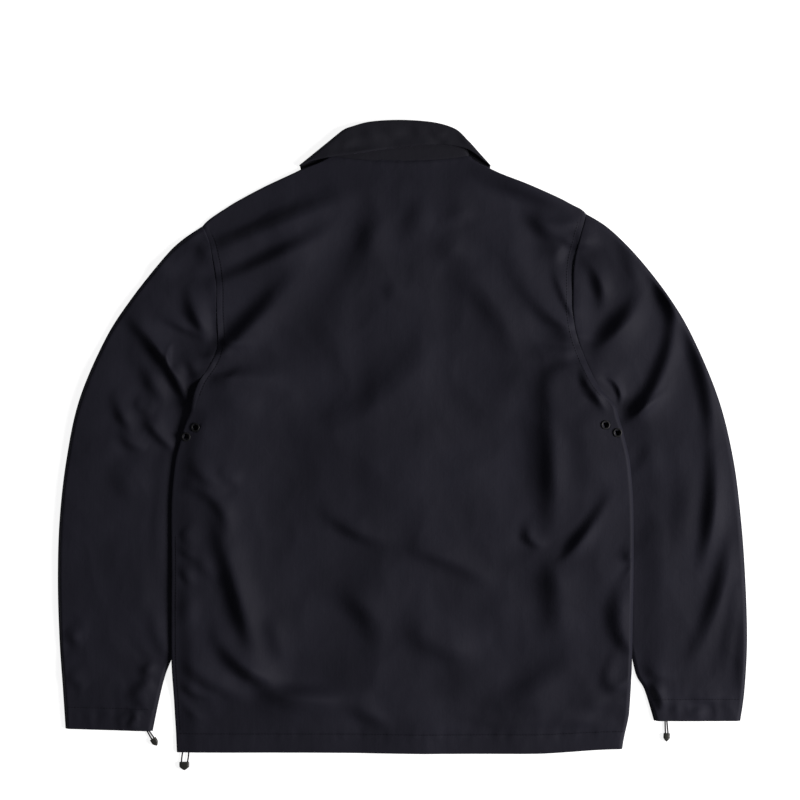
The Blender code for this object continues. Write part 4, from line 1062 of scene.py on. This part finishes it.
def makeEyelets(points):
    upright = Vector((0.0, 0.0, 1.0))
    for number, place in enumerate(eyeletPlaces, start=1):
        spot, normal = surfaceAt(points, place.x, place.y)
        ring = turned("eyelet_ring_%d" % number, eyeletProfile(), eyeletLook["steps"], finish["metal"])
        ring.rotation_mode = "QUATERNION"
        ring.rotation_quaternion = upright.rotation_difference(normal)
        ring.location = (spot + normal * eyeletLook["above"]) * mm
        settle(ring, "eyelet_%d" % number)
        punch(back, spot)


makeEyelets(backPoints)
thicken(back, sizes["cloth"])
settle(back, "back")
print("eyelets ready")


# Sleeves: tubes pressed flat, laid in rings from the armhole (share 0) to the cuff (share 1)
sleeveGrid = {
    "fold": 9, "top": 80, "under": 16, "head": (0.0, 0.0005, 0.0013, 0.0025, 0.004, 0.006, 0.009),
    "upper": (0.012, 0.07, 12), "long": (0.07, 0.9, 144), "cuff": (0.9, 1.0, 40),
}
sleeveSides = {
    "left": {"side": -1.0, "outer": leftOuter, "inner": leftInner, "body": bodyLeft,
             "shoulder": sizes["leftShoulderY"], "seed": 9.0, "sink": 0.8, "cordX": -300.0},
    "right": {"side": 1.0, "outer": rightOuter, "inner": rightInner, "body": bodyRight,
              "shoulder": sizes["rightShoulderY"], "seed": 14.0, "sink": 0.3, "cordX": 305.0},
}
sleeveLook = {
    "wall": 0.5, "bendsOver": 0.119, "clear": 0.25, "headIn": 1.3, "headDown": 0.8,
    "edgeRun": 3.0, "edgeShare": 0.5, "besideRun": (2.0, 40.0), "besideEnds": 50.0, "nearBody": 0.16,
    "cuffThin": 0.35, "cuffFrom": 0.9, "meetReach": 14.0, "meetRun": 26.0, "seamGroove": 0.2,
    "sinkRun": (3.0, 52.0), "sinkFrom": (-210.0, -40.0), "sinkTo": (58.0, 108.0),
    "underEdge": 3.0, "underSlope": 0.9, "cuffGroove": 0.4,
    "cuffPucker": 0.8, "cordPucker": 0.9, "cordReach": 26.0,
}
Cut = namedtuple("Cut", "outer inner hole body side")


def lineAt(points, shares):
    # places at shares of a line's length
    lengths = np.concatenate([[0.0], np.cumsum(np.hypot(*np.diff(points, axis=0).T))])
    wanted = np.asarray(shares) * lengths[-1]
    return np.stack([np.interp(wanted, lengths, points[:, axis]) for axis in (0, 1)], -1)


def sleeveCut(row):
    ys = np.linspace(row["shoulder"], sizes["seamEndY"], 90)
    end = row["inner"][0]
    hole = np.concatenate([np.stack([row["body"](ys), ys], 1), [[end.x, end.y]]])
    return Cut(evenCurve(row["outer"], 401), evenCurve(row["inner"], 401), hole, row["body"], row["side"])


def acrossSleeve(cut, share, distances):
    # places at distances from the outer fold, on a line across the sleeve. Near the armhole the line bends
    # to the seam's curve. It stays off the body's edge, and the head's own ring goes in under that.
    start, end = lineAt(cut.outer, [share])[0], lineAt(cut.inner, [share])[0]
    part = np.clip(np.asarray(distances) / math.dist(start, end), 0.0, 1.0)[:, None]
    pull = max(0.0, 1.0 - share / sleeveLook["bendsOver"]) ** 2
    chord = cut.hole[0] + (cut.hole[-1] - cut.hole[0]) * part
    spot = start + (end - start) * part + (lineAt(cut.hole, part[:, 0]) - chord) * pull
    if share == 0.0:
        spot[:, 0] += cut.side * sleeveLook["clear"]
    edge = np.abs(cut.body(spot[:, 1])) + sleeveLook["clear"]
    above = spot[:, 1] > sizes["seamEndY"]
    spot[:, 0] = np.where(above, cut.side * np.maximum(np.abs(spot[:, 0]), edge), spot[:, 0])
    if share == 0.0:
        spot[:, 0] = np.where(above, spot[:, 0] - cut.side * sleeveLook["headIn"], spot[:, 0])
    return spot


def innerPart(count):
    # even shares between the two folds, without the folds themselves
    return np.linspace(0.0, 1.0, count + 2)[1:-1]


def sleeveRing(cut, share):
    # one ring of the tube: outer fold, top layer, inner fold, under layer; with the heights of all but
    # the top layer, and the width between the folds
    radius = sizes["layered"] / 2
    angles = np.radians(np.linspace(-90, 90, sleeveGrid["fold"]))
    bulge, height = radius * (1 - np.cos(angles)), radius + radius * np.sin(angles)
    length = math.dist(lineAt(cut.outer, [share])[0], lineAt(cut.inner, [share])[0])
    width = length - 2 * radius
    if share == 0.0:
        way = cut.hole[-2] - cut.hole[-1]
    else:
        ahead, behind = min(1.0, share + 0.01), max(0.0, share - 0.01)
        run = lineAt(cut.inner, [ahead])[0] - lineAt(cut.inner, [behind])[0]
        way = np.array([-run[1], run[0]]) * cut.side
    way = way / np.hypot(*way)
    foldIn = acrossSleeve(cut, share, [length] * len(angles)) + way * bulge[:, None]
    top = acrossSleeve(cut, share, radius + width * innerPart(sleeveGrid["top"]))
    under = acrossSleeve(cut, share, radius + width * innerPart(sleeveGrid["under"]))
    places = np.concatenate([acrossSleeve(cut, share, bulge), top, foldIn[::-1], under[::-1]])
    heights = np.concatenate([height, np.zeros(len(top)), height[::-1], np.zeros(len(under))])
    return places, heights, width


def fromLine(line, x, y):
    # distance from a straight line given by its two ends
    way = (line[1] - line[0]) / math.dist(*line)
    return np.abs((x - line[0][0]) * way[1] - (y - line[0][1]) * way[0])


def sleeveTop(cut, row, x, y, share, fromOuter, fromInner):
    # heights of the top layer
    look = sleeveLook
    seamEnd = sizes["seamEndY"]
    edge = np.abs(cut.body(y))
    past = np.abs(x) - edge
    free = np.where(y > seamEnd, np.hypot(x - cut.body(np.array([seamEnd]))[0], y - seamEnd), past)
    free = free + sizes["tuckUnder"]
    # low where it runs under the body's edge, full about 37 mm further out
    rise = look["edgeShare"] + (1.0 - look["edgeShare"]) * ramp(free, *look["besideRun"])
    beside = np.where(free > 0, rollShare(np.maximum(free, 0.0), look["edgeRun"]) * rise, 0.0)
    beside = np.where(y > sizes["hem"] + look["besideEnds"], beside, 1.0)
    loft = np.minimum(rollShare(np.minimum(fromOuter, fromInner), sizes["sleeveRoll"]), beside)
    nearBody = 1.0 - ramp(share, 0.0, look["nearBody"])
    full = sizes["sleeveLoft"] + (sizes["bodyLoft"] - sizes["sleeveLoft"]) * nearBody
    cuff = 1.0 - look["cuffThin"] * ramp(share, look["cuffFrom"], 1.0)
    rough = crumple(x, y, row["seed"])
    reach = nearArmhole(x, y, topLook["seamReach"])
    folds = foldHeights(sleeveFolds, x, y) + foldHeights(bodyFolds, x, y) * reach + rough
    soft = softFloor(full * loft * cuff + folds * loft) * loft
    z = sizes["layered"] + underHeight(x, y) * nearBody * loft + soft
    # at the armhole the sleeve's top meets the body's, with the seam's ditch and ripples, and its edge is
    # held down inside the seam
    seamY = np.clip(y, seamEnd + 1.0, None)
    bodyZ = bodyTop(cut.body(seamY) - cut.side * 0.4, seamY, rough)
    meet = nearArmhole(x, y, look["meetReach"]) * np.clip(loft * 1.5, 0.0, 1.0)
    meet = meet * ramp(y, seamEnd, seamEnd + look["meetRun"])
    z = z * (1 - meet) + bodyZ * meet
    z -= look["seamGroove"] * groove(past, seamLook["narrow"]) * (y > seamEnd + 6.0) * loft
    z += armholePucker(y, edge - np.abs(x)) * loft * (y > seamEnd)
    z -= look["headDown"] * (1.0 - ramp(past, -1.0, 0.1)) * (y > seamEnd) * loft
    # the sleeve sinks where the body lies beside it, under the arm, and goes low under the body's edge
    sunk = (1.0 - ramp(past, *look["sinkRun"])) * ramp(y, *look["sinkFrom"])
    sunk = sunk * (1.0 - ramp(y, *look["sinkTo"]))
    z -= row["sink"] * sunk * loft
    low = sizes["tuckLift"] * tuckShare(y) + sizes["armpitLift"] * ramp(y, *overlaps["armpitIn"]) - 0.5
    beyond = np.maximum(free - sizes["tuckUnder"], 0.0)
    most = np.maximum(low, look["underEdge"]) + beyond * look["underSlope"]
    z = np.where(y < seamEnd, np.minimum(z, most), z)
    # cuff casing, gathered most where the cord comes out
    fromCuff = fromLine(np.array([cut.outer[-1], cut.inner[-1]]), x, y)
    casing = sizes["cuffCasing"]
    casingEnd = 1.0 - ramp(fromCuff, casing - seamLook["casingSide"], casing)
    z += seamLook["casingLift"] * (ramp(fromCuff, 0.0, seamLook["casingEase"]) * casingEnd) * loft
    z -= look["cuffGroove"] * groove(fromCuff - casing) * loft
    gathered = pucker(x, fromCuff - casing * 0.6, 21.0, 9.0, 16.0)
    toCord = np.exp(-((x - row["cordX"]) / look["cordReach"]) ** 2)
    return z + (look["cuffPucker"] + look["cordPucker"] * toCord) * gathered * loft


def makeSleeve(key):
    row = sleeveSides[key]
    cut = sleeveCut(row)
    upper, long, cuff = (np.linspace(*sleeveGrid[part]) for part in ("upper", "long", "cuff"))
    shares = np.concatenate([sleeveGrid["head"], upper[:-1], long, cuff[1:]])
    rings = [sleeveRing(cut, share) for share in shares]
    places, z = np.array([ring[0] for ring in rings]), np.array([ring[1] for ring in rings])
    widths = np.array([ring[2] for ring in rings])[:, None]
    part = innerPart(sleeveGrid["top"])
    top = slice(sleeveGrid["fold"], sleeveGrid["fold"] + sleeveGrid["top"])
    heights = sleeveTop(cut, row, places[:, top, 0].ravel(), places[:, top, 1].ravel(),
                        np.repeat(shares, len(part)), (widths * part).ravel(), (widths * (1 - part)).ravel())
    z[:, top] = heights.reshape(len(shares), -1)
    points = np.concatenate([places, z[..., None]], 2)
    name = key + "_sleeve"
    sleeve = gridObject(name, points, finish["shell"], closed=True, flip=key == "left")
    thicken(sleeve, sleeveLook["wall"])
    settle(sleeve, "sleeve_" + key)
    # cuff stitches follow the casing's line on the top layer
    cuffLine = np.array([cut.outer[-1], cut.inner[-1]])
    line = []
    for column in range(top.start + 2, top.stop - 2):
        strip = points[-60:, column]
        distance = fromLine(cuffLine, strip[:, 0], strip[:, 1])
        order = np.argsort(distance)
        line.append([np.interp(sizes["cuffCasing"], distance[order], values) for values in strip[order].T])
    makeStitches(name + "_cuff_stitches", [line])
    return sleeve


sleeveLeft = makeSleeve("left")
sleeveRight = makeSleeve("right")
print("sleeves ready")


# Collar. Each row goes across it: the neck seam, as an angle round the neck from its left end, the roll
# line, the fall's edge, and half the space between its two layers at the roll line.
CollarRow = namedtuple("CollarRow", "neck neckZ rollX rollY rollZ edgeX edgeY edgeZ half")
collarRows = [
    CollarRow(-88, 2.6, -8, 252, 1.9, -62, 206, 0.85, 0.95),
    CollarRow(-62, 2.6, -30, 274, 1.9, -86, 228, 0.85, 0.95),
    CollarRow(-38, 2.6, -50, 304, 1.9, -106, 262, 0.85, 0.95),
    CollarRow(-17, 2.6, -62, 335, 1.9, -116, 296, 0.85, 0.95),
    CollarRow(-5, 2.7, -67, 355, 2.4, -119.4, 315.4, 0.95, 1.0),
    CollarRow(1, 3.6, -68, 358.5, 4.8, -120.2, 317.6, 4.4, 1.3),
    CollarRow(7, 4.8, -67, 359.5, 7.4, -117.0, 318.6, 8.4, 1.5),
    CollarRow(20, 6.4, -60, 361.8, 9.0, -101, 324.0, 10.4, 1.5),
    CollarRow(48, 6.8, -38, 367.5, 9.4, -56, 331.0, 11.0, 1.5),
    CollarRow(90, 6.8, -2, 369.5, 9.4, -2, 338.5, 11.0, 1.5),
    CollarRow(132, 6.8, 36, 366.8, 9.4, 42, 341.5, 11.0, 1.5),
    CollarRow(160, 6.4, 60, 360, 9.0, 74, 337.0, 10.4, 1.5),
    CollarRow(173, 4.8, 72, 350.5, 7.4, 98, 321.0, 8.4, 1.5),
    CollarRow(179, 3.6, 75, 346, 4.8, 102.5, 317.4, 4.4, 1.3),
    CollarRow(185, 2.7, 74, 342, 2.4, 102.5, 315.4, 0.95, 1.0),
    CollarRow(197, 2.6, 66, 328, 1.9, 104, 296, 0.85, 0.95),
    CollarRow(218, 2.6, 45, 302, 1.9, 96, 262, 0.85, 0.95),
    CollarRow(242, 2.6, 22, 273, 1.9, 77, 228, 0.85, 0.95),
    CollarRow(268, 2.6, 0, 252, 1.9, 54, 206, 0.85, 0.95),
]
collarLook = {
    "stations": 190, "across": 41, "foldIn": 3.0, "wall": 1.1, "leastZ": 0.6, "nearRoll": 0.6,
    "nearHalf": 0.7, "seamOver": 0.7, "turning": (1.4, 8.0), "foldFrom": (6.0, 9.0), "fade": 0.2,
    "dents": 0.8, "dentScale": 2.2, "seed": 21.0,
}

collarFolds = [
    Fold(-84, 338, -44, 347, 8, 352, 3.6, -2.6),
    Fold(-100, 330, -60, 335, -14, 337, 3.2, 3.0),
    Fold(-26, 360, -8, 352, 6, 356, 3.2, 2.4),
    Fold(30, 358, 40, 350, 54, 354, 3.4, 2.6),
    Fold(-56, 366, -40, 352, -34, 340, 5, 2.0),
    Fold(6, 368, 16, 356, 14, 344, 5, 2.2),
    Fold(62, 356, 76, 342, 88, 334, 4, 2.4),
    Fold(-76, 350, -70, 342, -74, 332, 5, 1.6),
]


def neckPlace(angle):
    # along the back neck seam from 0 to 180, and round the front of the neck outside that
    turn = math.radians(angle)
    reach = sizes["neckRadius"] - sizes["neckInset"]
    if 0.0 <= angle <= 180.0:
        across = (1.0 - math.cos(turn)) / 2
        x = sizes["neckX"] - reach + 2.0 * reach * across
        return x, sizes["neckY"] - sizes["neckDip"] * math.sin(math.pi * across) + collarLook["seamOver"]
    return sizes["neckX"] - reach * math.cos(turn), sizes["neckY"] + reach * math.sin(turn)


def collarLine(neck, roll, edge, half):
    # one line across the collar: up the stand, over the roll line and down the fall
    standWay, fallWay = (roll - neck).normalized(), (edge - roll).normalized()
    turning = float(ramp(edge.z, *collarLook["turning"]))
    sideways = Vector((-1.0 if edge.x < 0 else 1.0, 0.0, 0.0))
    outward = Vector((0.0, 0.0, 2.0 * turning - 1.0)) + sideways * (1.0 - abs(2.0 * turning - 1.0))
    outward.normalize()
    foldIn, nearRoll, nearHalf = collarLook["foldIn"], collarLook["nearRoll"], collarLook["nearHalf"]
    nine = [
        neck,
        neck.lerp(roll - outward * half, 0.45),
        roll - standWay * foldIn - outward * half,
        roll - standWay * nearRoll - outward * half * nearHalf,
        roll + standWay * 0.5,
        roll - standWay * nearRoll + outward * half * nearHalf,
        roll + fallWay * foldIn + outward * half,
        (roll + outward * half).lerp(edge, 0.5),
        edge,
    ]
    for point in nine:
        point.z = max(point.z, collarLook["leastZ"])
    steps = collarLook["across"] - 1
    return [spline(nine, step / steps) for step in range(steps + 1)]


def makeCollar():
    stations = [(*neckPlace(row.neck), *row[1:]) for row in collarRows]
    rows = []
    for index in range(collarLook["stations"]):
        values = spline(stations, index / (collarLook["stations"] - 1))
        rows.append(collarLine(Vector(values[0:3]), Vector(values[3:6]), Vector(values[6:9]), values[9]))
    points = np.array(rows)
    fall = points[:, int(collarLook["across"] * 6 / 8):]
    x, y = fall[..., 0].ravel(), fall[..., 1].ravel()
    upper = ramp(fall[..., 2], *collarLook["foldFrom"])
    fade = np.linspace(collarLook["fade"], 1.0, fall.shape[1])[None, :]
    scale = collarLook["dentScale"]
    dents = collarLook["dents"] * crumple(x * scale, y * scale, collarLook["seed"])
    fall[..., 2] += (foldHeights(collarFolds, x, y) + dents).reshape(upper.shape) * upper * fade
    points[..., 2] = np.maximum(points[..., 2], collarLook["leastZ"])
    collar = gridObject("folded_collar", points, finish["collar"])
    thicken(collar, collarLook["wall"], 0.0)
    settle(collar, "collar")
    return collar


collar = makeCollar()
print("collar ready")


# Front panels, which the back hides: plain, flat where they rest, with the same soft dents
frontLook = {
    "rows": 120, "columns": 52, "neckRows": 26, "neckFrom": 8.0, "neckTo": 88.0,
    "inset": 0.4, "armpitInset": 3.0, "insetFrom": (23.0, 41.0), "insetTo": (70.0, 105.0),
    "above": 0.6, "dents": 0.35, "seed": 31.0,
}


def makeFront(name, node, side):
    look = frontLook
    neckY, neckRadius, lap = sizes["neckY"], sizes["neckRadius"], sizes["frontLap"]
    neckLow = neckY - neckRadius
    turns = np.radians(np.linspace(look["neckFrom"], look["neckTo"], look["neckRows"]))
    ys = np.concatenate([np.linspace(sizes["hem"], neckLow, look["rows"]),
                         neckY - neckRadius * np.cos(turns)])
    x = []
    for at in ys:
        drop = np.clip((neckY - at) / neckRadius, 0.0, 1.0)
        neckX = sizes["neckX"] + side * neckRadius * math.sqrt(1.0 - drop * drop)
        inset = look["armpitInset"] * ramp(at, *look["insetFrom"]) * (1.0 - ramp(at, *look["insetTo"]))
        inset = inset + look["inset"]
        if side < 0:
            low = bodyLeft(np.array([at]))[0] + inset
            high = min(lap, neckX) if at > neckLow else lap
        else:
            high = bodyRight(np.array([at]))[0] - inset
            low = max(-lap, neckX) if at > neckLow else -lap
        x.append(np.linspace(low, high, look["columns"]))
    x = np.array(x)
    y = np.repeat(ys[:, None], look["columns"], 1)
    z = underHeight(x.ravel(), y.ravel()).reshape(x.shape) + look["above"]
    if side > 0:
        z += lapHeight(x)
    rough = crumple(x.ravel(), y.ravel(), look["seed"] + side).reshape(x.shape)
    z += np.clip(rough, 0.0, 1.0) * look["dents"]
    points = np.stack([x, y + hemShift(x, y), z], 2)
    front = gridObject(name, points, finish["shell"])
    thicken(front, sizes["cloth"])
    settle(front, node)
    return front


frontLeft = makeFront("left_front", "front_left", -1)
frontRight = makeFront("right_front", "front_right", 1)
for number in range(1, 6):
    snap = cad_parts["snap_%d" % number]
    if not snap.material_slots:
        snap.data.materials.append(finish["metal"])
    snap.material_slots[0].material = finish["metal"]
print("fronts ready")
